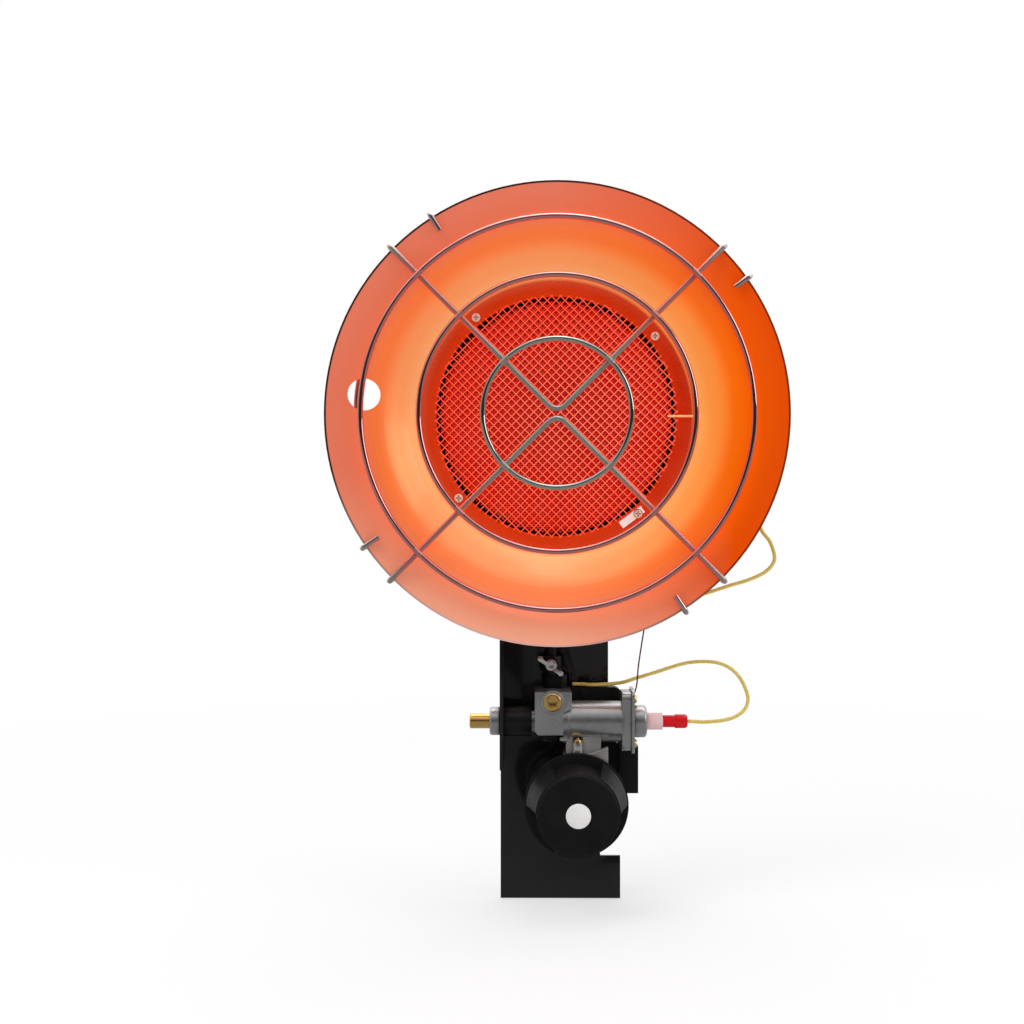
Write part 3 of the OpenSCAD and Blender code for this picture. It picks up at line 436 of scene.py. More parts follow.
@dataclass(frozen=True)
class Finish:
    """One surface finish: its colours, its gloss and its small-scale relief."""

    slot: str
    base: Colour
    tone: Colour
    metallic: float = 0.0
    roughness: float = 0.4
    rough_spread: float = 0.12
    grain_scale: float = 900.0
    patch_scale: float = 60.0
    relief: float = 0.00001
    edge_radius: float = 0.0004
    wear: Colour | None = None
    wear_amount: float = 0.0
    dust: float = 0.0
    dust_colour: Colour = srgb(150, 145, 138)
    coat: float = 0.0
    coat_roughness: float = 0.1
    specular: float = 0.5
    lines_scale: float = 0.0
    lines_centre: tuple[float, float] = (0.0, 0.0)
    lines_strength: float = 0.25
    lines_height: float = 2.0
    # Painted shade: the reach of the ambient occlusion, and the colour and share that darken slots
    # and corners.
    hollow_shade: float = 0.0
    hollow_shade_colour: Colour = (0.01, 0.01, 0.01)
    hollow_shade_amount: float = 0.9

    def colour(self, graph: Graph, tone: Socket) -> Socket:
        """The colour before wear and dust."""
        return graph.mix(tone, self.base, self.tone)

    def gloss(self, graph: Graph, rough: Socket) -> Socket:
        """The roughness that reaches the shader."""
        return rough

    def extra(self, graph: Graph, shader: Node) -> None:
        """Room for what a special finish adds to its shader."""

    def build(self, effects: Effects) -> bpy.types.Material:
        """Makes the material.

        Args:
            effects: The shared shader groups.

        Returns:
            The finished material.
        """
        material = bpy.data.materials.new(self.slot)
        graph = Graph.of(material, effects)
        scales = {"Scale": self.grain_scale, "Patch": self.patch_scale}
        height, tone = graph.group(effects.grain, scales)
        worn = {"Radius": self.edge_radius, "Amount": self.wear_amount}
        edge = graph.group(effects.edge, worn)
        colour = self.colour(graph, tone)
        if self.wear is not None:
            colour = graph.mix(edge["Mask"], colour, self.wear)
        if self.lines_scale:
            x, z = self.lines_centre
            inputs = {"Scale": self.lines_scale, "Centre X": x, "Centre Z": z}
            lines = graph.group(effects.lines, inputs)["Lines"]
            height = graph.math("ADD", height, graph.times(lines, self.lines_height))
            colour = graph.mix(graph.times(lines, self.lines_strength), colour, self.tone)
        # Painted shade: slots, corners and hollows are darkened by ambient occlusion.
        if self.hollow_shade:
            closed = {"Reach": self.hollow_shade, "Amount": self.hollow_shade_amount}
            colour = graph.mix(graph.group(effects.hollow_shade, closed)["Mask"], colour, self.hollow_shade_colour)
        if self.dust:
            film = graph.group(effects.dust, {"Amount": self.dust})["Mask"]
            colour = graph.mix(film, colour, self.dust_colour)
        half = self.rough_spread / 2
        span = Span(0.0, 1.0, self.roughness - half, self.roughness + half)
        bump = graph.node("ShaderNodeBump", {
            "Height": height, "Normal": edge["Normal"], "Strength": 1.0, "Distance": self.relief,
        })
        shader = graph.node("ShaderNodeBsdfPrincipled", {
            "Base Color": colour,
            "Metallic": self.metallic,
            "Roughness": self.gloss(graph, graph.spread(tone, span)),
            "Normal": bump.outputs[0],
            "Coat Weight": self.coat,
            "Coat Roughness": self.coat_roughness,
            "Specular IOR Level": self.specular,
        })
        self.extra(graph, shader)
        graph.node("ShaderNodeOutputMaterial", {0: shader.outputs[0]})
        return material


class Side(Enum):
    """Where a surface with painted burner light lies, seen from the burner's axis."""

    LEFT = 0
    RIGHT = 1
    FOOT = 2


@dataclass(frozen=True)
class Stop:
    """The painted light colour of every side at one distance from the burner's axis."""

    distance: float
    colours: tuple[Colour, ...]


def stops(*rows: tuple) -> tuple[Stop, ...]:
    """Makes stops from rows of a distance and screen colours.

    Args:
        rows: Each a distance and a colour for every side, or one colour for them all.

    Returns:
        The stops.
    """
    made = []
    for distance, *sides in rows:
        colours = tuple(srgb(*side) for side in sides)
        made.append(Stop(distance, (colours * len(Side))[:len(Side)]))
    return tuple(made)


@dataclass(frozen=True)
class BurnerLitFinish(Finish):
    """A surface by the burner, whose colour changes with its distance from the burner's axis:
    painted glow, highlights, reflections and shade.
    """

    stops: tuple[Stop, ...] = ()
    glow: float = 0.0
    glow_reach: float = 0.0
    glow_fade: float = 0.004
    tone_share: float = 0.1
    deep: Colour | None = None
    shade: float = 0.0
    back: Colour | None = None
    back_tone: float = 0.7
    coat_fades: bool = False

    # Dark red of the painted shade on the rear cloth towards the burner's middle.
    REAR_SHADE_RED = (0.06, 0.004, 0.002)
    SHADED = (0.02, 0.064)
    COAT_ENDS = 0.6
    BEHIND_CLOTH = Span(-0.0515, -0.0495)
    AT_CLOTH = Span(-0.0515, -0.0495, 1.0, 0.0)
    FACING_BACK = Span(0.1, 0.3)

    def ramps(self, graph: Graph, share: Socket) -> list[Socket]:
        """Lays one ramp of painted light colours for each side.

        Args:
            graph: The material's nodes.
            share: Share of the way from the first stop to the last.

        Returns:
            The colours to the left, to the right and at the foot.
        """
        low, high = self.stops[0].distance, self.stops[-1].distance
        sides = []
        for side in Side:
            made = graph.node("ShaderNodeValToRGB", {0: share})
            ramp = made.color_ramp
            ramp.interpolation = "EASE"
            while len(ramp.elements) < len(self.stops):
                ramp.elements.new(0.5)
            for element, stop in zip(ramp.elements, self.stops):
                element.position = (stop.distance - low) / (high - low)
            for element, stop in zip(ramp.elements, self.stops):
                element.color = rgba(stop.colours[side.value])
            sides.append(made.outputs[0])
        return sides

    def colour(self, graph: Graph, tone: Socket) -> Socket:
        """Blends the ramps of the three sides, paints shade on what lies behind the front cloth,
        and dulls faces that look back.

        Args:
            graph: The material's nodes.
            tone: The surface's tone.

        Returns:
            The colour before wear and dust.
        """
        burner_light = graph.burner_light()
        low, high = self.stops[0].distance, self.stops[-1].distance
        left, right, foot = self.ramps(graph, graph.spread(burner_light["Radius"], Span(low, high)))
        below = graph.times(burner_light["Below"], graph.math("SUBTRACT", 1.0, burner_light["Right"]))
        lit = graph.mix(below, graph.mix(burner_light["Right"], left, right), foot)
        # Behind the front cloth the colour becomes deep; on the cloth this is painted shade, darker
        # towards the middle.
        if self.deep is not None:
            dim = graph.spread(burner_light["Radius"], Span(*self.SHADED, self.shade, 0.0))
            behind = graph.mix(dim, self.deep, self.REAR_SHADE_RED)
            lit = graph.mix(graph.spread(graph.depth(), self.BEHIND_CLOTH), lit, behind)
        if self.back is not None:
            share = graph.spread(burner_light["Radius"], Span(low, high, 0.0, self.back_tone))
            facing = graph.spread(graph.parts(graph.normal())[1], self.FACING_BACK)
            lit = graph.mix(facing, lit, graph.mix(share, self.back, self.tone))
        return graph.mix(graph.times(tone, self.tone_share), lit, self.tone)

    def extra(self, graph: Graph, shader: Node) -> None:
        """Lets the surface shine a little in its own colour: a real glow on the wire cloth, a
        painted glow on the other parts.

        Args:
            graph: The material's nodes.
            shader: The material's shader.
        """
        if self.glow:
            light = shader.inputs["Base Color"].links[0].from_socket
            if self.glow_reach:
                radius = graph.burner_light()["Radius"]
                mouth = Span(self.glow_reach, self.glow_reach + self.glow_fade, 1.0, 0.0)
                front = graph.spread(graph.depth(), self.AT_CLOTH)
                light = graph.mix(graph.times(graph.spread(radius, mouth), front), BLACK, light)
            graph.feed(light, shader.inputs["Emission Color"])
            graph.feed(self.glow, shader.inputs["Emission Strength"])
        if self.coat_fades:
            right = graph.burner_light()["Right"]
            fading = Span(0.0, self.COAT_ENDS, self.coat, 0.0)
            graph.feed(graph.spread(right, fading), shader.inputs["Coat Weight"])


@dataclass(frozen=True)
class GuardFinish(BurnerLitFinish):
    """Chrome wire that the burner's warmth has dulled on the straight wires across the burner."""

    dulled: float = 0.4
    dull_width: float = 0.0038
    dull_fade: float = 0.0006

    def gloss(self, graph: Graph, rough: Socket) -> Socket:
        """Adds to the roughness along both diagonals.

        Args:
            graph: The material's nodes.
            rough: The wire's own roughness.

        Returns:
            The roughness with the dulled bands.
        """
        across, up, _ = graph.offsets(HEAD_X, HEAD_Z)
        sides = (graph.math("ABSOLUTE", across), graph.math("ABSOLUTE", up))
        off = graph.math("ABSOLUTE", graph.math("SUBTRACT", *sides))
        band = Span(self.dull_width, self.dull_width + self.dull_fade, self.dulled, 0.0)
        return graph.math("ADD", rough, graph.spread(off, band))


@dataclass(frozen=True)
class InnerFinish(Finish):
    """Sheet steel with a painted dark red glow where it lies close behind the wire cloths."""

    plate_glow: Colour = (0.26, 0.008, 0.004)
    gap_shade: Colour = (0.010, 0.005, 0.004)
    plate_reach: float = 0.0626
    mouth_reach: float = 0.0676
    fade: float = 0.0004
    shine: float = 0.7

    IN_MOUTH = Span(-0.0349, -0.0345, 1.0, 0.0)

    def inside(self, graph: Graph, reach: float) -> Socket:
        """Mask of what lies in the burner's mouth, within a distance of its axis.

        Args:
            graph: The material's nodes.
            reach: The distance.

        Returns:
            The mask.
        """
        radius = graph.burner_light()["Radius"]
        near = graph.spread(radius, Span(reach - self.fade, reach, 1.0, 0.0))
        return graph.times(near, graph.spread(graph.depth(), self.IN_MOUTH))

    def colour(self, graph: Graph, tone: Socket) -> Socket:
        """Steel outside, painted shade in the gap round the plate, and a painted glow colour on the
        plate.

        Args:
            graph: The material's nodes.
            tone: The surface's tone.

        Returns:
            The colour before wear and dust.
        """
        steel = graph.mix(tone, self.base, self.tone)
        gap_shaded = graph.mix(self.inside(graph, self.mouth_reach), steel, self.gap_shade)
        return graph.mix(self.inside(graph, self.plate_reach), gap_shaded, self.plate_glow)

    def extra(self, graph: Graph, shader: Node) -> None:
        """Lets the plate shine a little with a painted glow.

        Args:
            graph: The material's nodes.
            shader: The material's shader.
        """
        glow = graph.mix(self.inside(graph, self.plate_reach), BLACK, self.plate_glow)
        graph.feed(glow, shader.inputs["Emission Color"])
        graph.feed(self.shine, shader.inputs["Emission Strength"])


@dataclass(frozen=True)
class BraidFinish(Finish):
    """Insulated lead with a fine spiral lay along its own length, drawn on the UV map."""

    turns: float = 900.0

    LAY = Span(-0.6, 0.8, 0.0, 0.3)

    def colour(self, graph: Graph, tone: Socket) -> Socket:
        """Two shades that wind round the lead.

        Args:
            graph: The material's nodes.
            tone: The surface's tone.

        Returns:
            The colour before wear and dust.
        """
        parts = graph.parts(graph.node("ShaderNodeUVMap", uv_map="UVMap").outputs[0])
        phase = graph.math("ADD", graph.times(parts[0], self.turns), parts[1])
        wave = graph.math("SINE", graph.times(phase, math.tau))
        plain = graph.mix(tone, self.base, self.tone)
        return graph.mix(graph.spread(wave, self.LAY), plain, self.wear or self.tone)


# Each row has a distance from the burner's axis in metres, and the colour to the left, to the right
# and at the foot, or one colour for all three.
# Painted light on the dish: the burner's glow, a whiter painted sheen to the left, painted shade on
# the rim's edge above and a painted highlight on it at the foot.
DISH_STOPS = stops(
    (0.074, (226, 120, 62), (226, 100, 30), (226, 120, 62)),
    (0.078, (255, 180, 116), (255, 176, 88), (255, 184, 126)),
    (0.086, (255, 162, 98), (255, 154, 64), (255, 164, 110)),
    (0.098, (254, 126, 62), (252, 110, 4), (254, 134, 82)),
    (0.108, (236, 120, 86), (244, 92, 0), (244, 152, 116)),
    (0.1236, (232, 122, 94), (232, 78, 0), (242, 166, 136)),
    (0.1242, (46, 16, 14), (120, 40, 10), (214, 168, 158)),
    (0.126, (40, 14, 12), (110, 36, 10), (214, 168, 158)),
)
# Painted light on the ring: the wire cloth's red glow, with a painted pink sheen to the left at its
# outer edge.
RING_STOPS = stops(
    (0.060, (220, 60, 4), (206, 40, 0), (230, 68, 8)),
    (0.070, (214, 52, 4), (200, 34, 0), (224, 60, 6)),
    (0.077, (212, 84, 60), (196, 40, 2), (216, 68, 30)),
)
# Painted reflection: the dish's pink glow on the chrome wires in front of it.
GUARD_STOPS = stops(
    (0.0, (200, 206, 200), (204, 206, 200), (200, 206, 200)),
    (0.045, (204, 208, 202), (208, 206, 200), (204, 208, 202)),
    (0.060, (252, 176, 168), (250, 174, 162), (252, 172, 166)),
    (0.110, (248, 174, 168), (246, 172, 162), (248, 168, 164)),
    (0.126, (218, 202, 198), (218, 202, 198), (218, 202, 198)),
)
# Painted highlights: the cloth is paler and pinker in the middle and to the right.
CLOTH_STOPS = stops(
    (0.0, (254, 116, 92), (255, 130, 108), (254, 108, 84)),
    (0.034, (254, 96, 68), (255, 128, 106), (252, 84, 52)),
    (0.067, (252, 70, 34), (253, 96, 66), (251, 68, 28)),
)
# Painted glow: steel near the burner is pink with the burner's light.
STEEL_STOPS = stops(
    (0.0, (255, 236, 230)),
    (0.078, (255, 236, 230)),
    (0.084, (218, 214, 212)),
    (0.3, (218, 214, 212)),
)
# Painted glow: the probe is cream with the burner's light near the burner.
PROBE_STOPS = stops(
    (0.0, (255, 206, 150)),
    (0.074, (255, 196, 130)),
    (0.084, (206, 180, 160)),
)

FINISHES: tuple[Finish, ...] = (
    # Painted light: the dish's stops and glow stand in for the burner's light, though the dish is
    # no lamp.
    BurnerLitFinish(
        "reflector_enamel", srgb(250, 130, 80), srgb(190, 84, 60), metallic=0.25, roughness=0.3,
        rough_spread=0.03, grain_scale=90, patch_scale=18, relief=0.000002, stops=DISH_STOPS,
        edge_radius=0.0, coat=0.3, coat_roughness=0.08, coat_fades=True, specular=0.1, glow=0.24,
        tone_share=0.03, back=srgb(206, 96, 52),
    ),
    # Painted light: the ring's colour and glow stand in for the glow of the wire cloth.
    BurnerLitFinish(
        "burner_ring_steel", srgb(205, 60, 24), srgb(214, 96, 66), metallic=0.35, roughness=0.3,
        stops=RING_STOPS, relief=0.000006, lines_scale=900, lines_centre=(HEAD_X, HEAD_Z),
        lines_strength=0.05, glow=0.28, specular=0.1,
    ),
    # The cloth's glow is its own; its pale stops are painted highlights, and its rear cloth gets
    # painted shade.
    BurnerLitFinish(
        "hot_wire_cloth", srgb(236, 60, 34), srgb(255, 130, 100), roughness=0.3, stops=CLOTH_STOPS,
        relief=0.0, glow=0.42, tone_share=0.16, deep=srgb(222, 22, 8), shade=0.4, coat=0.7,
        coat_roughness=0.16,
    ),
    # Painted light: the pale pink stands in for the burner's glow on the steel screws, and their
    # slots get painted shade.
    Finish(
        "hot_screw", srgb(255, 200, 176), srgb(255, 226, 208), metallic=0.3, roughness=0.3,
        hollow_shade=0.0009, hollow_shade_colour=srgb(110, 26, 16), wear=srgb(255, 226, 200), wear_amount=0.5,
    ),
    # Painted light inside the burner's mouth: a painted dark red glow on the plate and painted
    # shade in the gap round it.
    InnerFinish(
        "burner_steel", srgb(118, 112, 108), srgb(150, 144, 138), metallic=0.85, roughness=0.38,
        patch_scale=30, wear=srgb(198, 194, 188), wear_amount=0.4, dust=0.2,
    ),
    Finish(
        "brass", srgb(232, 178, 88), srgb(246, 208, 132), metallic=0.95, roughness=0.22,
        relief=0.000006, hollow_shade=0.0009, hollow_shade_colour=srgb(150, 96, 36), wear=srgb(255, 236, 186),
        wear_amount=0.6, lines_scale=1600, lines_strength=0.2,
    ),
    Finish(
        "black_tube", srgb(12, 12, 12), srgb(20, 19, 19), roughness=0.36, specular=0.25,
        wear=srgb(70, 68, 66), wear_amount=0.3, dust=0.05,
    ),
    # Painted light: pink glow near the burner, and plain steel behind the front cloth.
    BurnerLitFinish(
        "bright_steel", srgb(212, 208, 206), srgb(236, 232, 230), metallic=0.85, roughness=0.2,
        relief=0.000006, wear=srgb(250, 250, 250), wear_amount=0.5, lines_scale=1500,
        lines_strength=0.2, hollow_shade=0.0006, hollow_shade_colour=srgb(120, 116, 112), stops=STEEL_STOPS,
        deep=srgb(222, 220, 218), glow=0.5, glow_reach=0.078,
    ),
    BurnerLitFinish(
        "probe_steel", srgb(214, 150, 112), srgb(236, 190, 150), metallic=0.4, roughness=0.3,
        relief=0.000006, wear=srgb(250, 230, 210), wear_amount=0.4, stops=PROBE_STOPS, glow=0.3,
    ),
    GuardFinish(
        "guard_chrome", srgb(206, 196, 194), srgb(222, 210, 206), metallic=1.0, roughness=0.06,
        rough_spread=0.03, relief=0.0, edge_radius=0.0, patch_scale=90, stops=GUARD_STOPS,
    ),
    Finish(
        "bracket_paint", srgb(17, 16, 16), srgb(24, 23, 23), roughness=0.2, rough_spread=0.06,
        grain_scale=1400, relief=0.000006, coat=0.3, coat_roughness=0.06, specular=0.3,
        wear=srgb(84, 82, 80), wear_amount=0.35, dust=0.05,
    ),
    Finish(
        "black_plastic", srgb(12, 12, 12), srgb(20, 20, 20), roughness=0.5, grain_scale=2200,
        relief=0.00002, wear=srgb(46, 46, 46), wear_amount=0.3, dust=0.04, specular=0.25,
    ),
    Finish(
        "valve_zinc", srgb(164, 165, 166), srgb(190, 191, 192), metallic=0.88, roughness=0.3,
        rough_spread=0.08, grain_scale=4200, relief=0.000006, edge_radius=0.0006,
        wear=srgb(226, 227, 228), wear_amount=0.7, dust=0.08, hollow_shade=0.0022, hollow_shade_colour=srgb(44, 44, 45),
    ),
    Finish(
        "sleeve_silicone", srgb(222, 176, 178), srgb(236, 200, 200), roughness=0.36,
        wear=srgb(244, 220, 220), wear_amount=0.2, coat=0.2,
    ),
    Finish(
        "terminal_red", srgb(200, 0, 18), srgb(214, 8, 26), roughness=0.3, specular=0.2,
        wear=srgb(250, 150, 150), wear_amount=0.6, coat=0.1,
    ),
    BraidFinish(
        "lead_yellow", srgb(214, 186, 78), srgb(232, 212, 120), roughness=0.5,
        wear=srgb(176, 146, 50), turns=420.0,
    ),
    BraidFinish(
        "ground_copper", srgb(98, 46, 34), srgb(132, 72, 54), metallic=0.6, roughness=0.4,
        wear=srgb(60, 28, 22), turns=500.0,
    ),
    Finish(
        "regulator_zinc", srgb(176, 172, 170), srgb(202, 198, 195), metallic=0.75, roughness=0.38,
        grain_scale=1200, patch_scale=90, relief=0.00003, edge_radius=0.0005,
        wear=srgb(236, 234, 232), wear_amount=0.6, dust=0.08, hollow_shade=0.0022, hollow_shade_colour=srgb(60, 58, 57),
    ),
    Finish(
        "knob_plastic", srgb(20, 19, 20), srgb(26, 25, 26), roughness=0.5, rough_spread=0.08,
        grain_scale=2600, relief=0.000015, edge_radius=0.0007, wear=srgb(50, 50, 50),
        wear_amount=0.25, dust=0.02, specular=0.08,
    ),
    Finish(
        "knob_white", srgb(236, 236, 234), srgb(222, 222, 220), roughness=0.45, relief=0.00002,
        wear=srgb(250, 250, 250), wear_amount=0.2,
    ),
    Finish(
        "seal_rubber", srgb(20, 20, 20), srgb(34, 34, 34), roughness=0.65, relief=0.00003, dust=0.1,
    ),
    Finish(
        "nut_plastic", srgb(18, 18, 19), srgb(30, 30, 31), roughness=0.48, grain_scale=2200,
        relief=0.00003, wear=srgb(66, 66, 66), wear_amount=0.35, dust=0.08,
    ),
)


class Paintshop:
    """Builds every finish once and gives it out by its slot."""

    def __init__(self) -> None:
        """Makes the shared groups and all the materials."""
        effects = Effects()
        self.materials = {finish.slot: finish.build(effects) for finish in FINISHES}

    def coat(self, piece: Piece, slot: str) -> None:
        """Gives a piece one finish.

        Args:
            piece: The piece.
            slot: Its slot.
        """
        piece.data.materials.clear()
        piece.data.materials.append(self.materials[slot])

    def dress_frame(self, frame: dict) -> None:
        """Gives each CAD node the finish of its slot.
        """
        for part in frame["record"]["subparts"]:
            node = frame["nodes"][part["node"]]
            for place in node.material_slots:
                place.material = self.materials[part["material_slot"]]
            LOG.info("%s is dressed in %s", part["node"], part["material_slot"])


def make_active(piece: Piece) -> None:
    """Selects one object alone and makes it active.

    Args:
        piece: The object.
    """
    bpy.ops.object.select_all(action="DESELECT")
    piece.select_set(True)
    bpy.context.view_layer.objects.active = piece


def smooth(piece: Piece, degrees: float) -> None:
    """Smooths a piece's shading, apart from edges sharper than an angle."""
    make_active(piece)
    bpy.ops.object.shade_smooth_by_angle(angle=math.radians(degrees))


@dataclass(frozen=True)
class Rounding:
    """CAD nodes that are shown with rounded edges, and how they are rounded.

    The radius is that of the rounded edges, and edges sharper than the angle, in degrees, are
    rounded in so many steps.
    """

    nodes: tuple[str, ...]
    radius: float
    segments: int = 2
    angle: float = 28.0

    WELD = 0.004 * MM
    FLAT = math.radians(0.4)

    def copy(self, node: Piece) -> Piece:
        """Makes a rounded copy of one CAD node, which is shown in its place.

        Args:
            node: The CAD node, which is left as it is.

        Returns:
            The copy, closed and with rounded edges.
        """
        name = f"{node.name}_soft"
        piece = bpy.data.objects.new(name, node.data.copy())
        piece.data.name = name
        bpy.context.scene.collection.objects.link(piece)
        make_active(piece)
        bpy.ops.object.mode_set(mode="EDIT")
        bpy.ops.mesh.select_all(action="SELECT")
        bpy.ops.mesh.remove_doubles(threshold=self.WELD)
        bpy.ops.mesh.customdata_custom_splitnormals_clear()
        bpy.ops.mesh.dissolve_limited(angle_limit=self.FLAT)
        bpy.ops.mesh.normals_make_consistent(inside=False)
        bpy.ops.object.mode_set(mode="OBJECT")
        if self.radius:
            soft = piece.modifiers.new("soft_edges", "BEVEL")
            soft.width = self.radius
            soft.segments = self.segments
            soft.limit_method = "ANGLE"
            soft.angle_limit = math.radians(self.angle)
            bpy.ops.object.modifier_apply(modifier=soft.name)
        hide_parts(node.name)
        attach(piece, body_of(node)[0])
        return piece


@dataclass
class Assembly:
    """A group of pieces with one place in the heater."""

    frame: dict
    paint: Paintshop
    roundings: tuple[Rounding, ...] = ()
    margin: float = 2.0

    @property
    def nodes(self) -> dict[str, Piece]:
        """The CAD nodes by name."""
        return self.frame["nodes"]

    def settle(self, piece: Piece, slot: str, degrees: float) -> None:
        """Finishes one new piece: its shading, its material and the body that it rides on.

        Args:
            piece: The piece, in place.
            slot: Its slot in the record.
            degrees: Angle of smooth shading.
        """
        smooth(piece, degrees)
        self.paint.coat(piece, slot)
        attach(piece, "heater")

    def soften(self) -> None:
        """Shows rounded copies of CAD nodes in their place, each with its own finish."""
        parts = self.frame["record"]["subparts"]
        slots = {part["node"]: part["material_slot"] for part in parts}
        for rounding in self.roundings:
            for name in rounding.nodes:
                piece = rounding.copy(self.nodes[name])
                smooth(piece, rounding.angle + self.margin)
                self.paint.coat(piece, slots[name])

    def build(self) -> None:
        """Makes the group's pieces."""
        self.soften()


class Wires:
    """Round wires that are laid as one curve and then made a mesh."""

    def __init__(self, name: str) -> None:
        """Adds an empty curve.

        Args:
            name: The piece's name.
        """
        bpy.ops.curve.primitive_nurbs_path_add()
        self.piece = bpy.context.object
        self.piece.name = name
        self.piece.data.splines.clear()

    def lay(self, points: Sequence[Vector]) -> None:
        """Lays one wire.

        Args:
            points: The points that it passes.
        """
        line = self.piece.data.splines.new("POLY")
        line.points.add(len(points) - 1)
        for place, point in zip(line.points, points):
            place.co = (*point, 1.0)

    def mesh(self, radius: float, resolution: int) -> Piece:
        """Gives the wires their thickness and closed ends.

        Args:
            radius: The wires' radius.
            resolution: How finely they are round.

        Returns:
            The piece, as a mesh.
        """
        curve = self.piece.data
        curve.dimensions = "3D"
        curve.bevel_depth = radius
        curve.bevel_resolution = resolution
        curve.use_fill_caps = True
        bpy.ops.object.convert(target="MESH")
        return self.piece


def along(points: Sequence[Vector], steps: int) -> list[Vector]:
    """A smooth line through points.

    Args:
        points: The points that the line passes.
        steps: Pieces of each span.

    Returns:
        The line's own points.
    """
    line = []
    last = len(points) - 1
    for index in range(last):
        near = (points[min(max(index + k, 0), last)] for k in (-1, 0, 1, 2))
        before, start, end, after = near
        bend = 2 * before - 5 * start + 4 * end - after
        twist = 3 * start - before - 3 * end + after
        for step in range(steps):
            t = step / steps
            line.append(0.5 * (2 * start + (end - before) * t + bend * t**2 + twist * t**3))
    return [*line, points[-1]]


@dataclass(frozen=True)
class Lead:
    """One free lead: its node, slot and diameter, its route in millimetres and its stiffness."""

    node: str
    slot: str
    diameter: float
    route: tuple[Place, ...]
    stiffness: str = "stiff"


@dataclass
class Leads(Assembly):
    """The sensor's two yellow leads and its thin bare wire."""

    steps: int = 6
    resolution: int = 4
    crease: float = 50.0
    leads: tuple[Lead, ...] = (
        Lead("lead_long", "lead_yellow", 2 * MM, (
            (61.1, -55, 43.4), (66, -55, 43.2), (71, -55, 43), (81, -55, 44), (88, -54, 46),
            (93, -53, 49.7), (94.8, -53, 55), (93.9, -52, 60), (90.8, -51, 66.5), (85.4, -50, 72),
            (77.8, -49, 75), (68.5, -48, 75.4), (59, -47.5, 74), (45, -47, 69.5), (33.7, -46.5, 66),
            (25, -46, 63.4), (11, -43.5, 62), (4, -40.5, 62), (-1.3, -40, 62),
        )),
        Lead("lead_rear", "lead_yellow", 2 * MM, (
            (81.3, -54.2, 210.9), (86, -54.2, 210.9), (93, -56, 206), (97, -59, 194),
            (97, -61, 178), (97, -62, 162), (100.4, -62, 149), (105.3, -62, 142),
            (107.8, -62, 134), (106.4, -62, 129.4), (102, -61, 125), (93.4, -60, 121),
            (83.6, -59, 118), (72, -57, 114), (57, -49, 109), (42, -38, 104), (28, -28.6, 98),
            (21.5, -27, 90), (16.6, -27, 80), (16.4, -27, 70), (18, -27.4, 60),
            (19.4, -29.8, 53.4), (20, -34, 51.6),
        )),
        Lead("ground_wire", "ground_copper", 0.8 * MM, (
            (33.65, -46.9, 158.15), (34.5, -44, 157), (38, -43.5, 148), (41, -46, 130),
            (41, -50, 110), (37.5, -52, 92), (34.6, -53.5, 74), (33.6, -54.8, 64),
            (32.3, -55, 58.8),
        )),
    )

    def build(self) -> None:
        """Makes each lead as a round tube along its route."""
        for lead in self.leads:
            points = along([Vector(point) * MM for point in lead.route], self.steps)
            wires = Wires(f"{lead.node}_sleeve")
            wires.lay(points)
            piece = wires.mesh(lead.diameter / 2, self.resolution)
            self.settle(piece, lead.slot, self.crease)
            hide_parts(lead.node)


@dataclass(frozen=True)
class Cloth:
    """One disc of square-woven wire cloth, laid on the slant.

    The wire's size is its radius, the wave is how far it swings out of the cloth, and the shift is
    the share of a mesh by which the cloth is moved along both ways of the weave.
    """

    node: str
    radius: float
    wire: float
    shift: float
    steps: int
    resolution: int
    pitch: float = 3.47 * MM
    wave: float = 0.22 * MM

    def runs(self, place: float) -> list[float]:
        """Spaces the points of one wire evenly along it.

        Args:
            place: The wire's distance from the cloth's middle.

        Returns:
            The points' places along the wire.
        """
        reach = math.sqrt(self.radius**2 - place**2)
        count = max(3, round(2 * reach / self.pitch * self.steps / 2) + 1)
        return [-reach + 2 * reach * number / (count - 1) for number in range(count)]


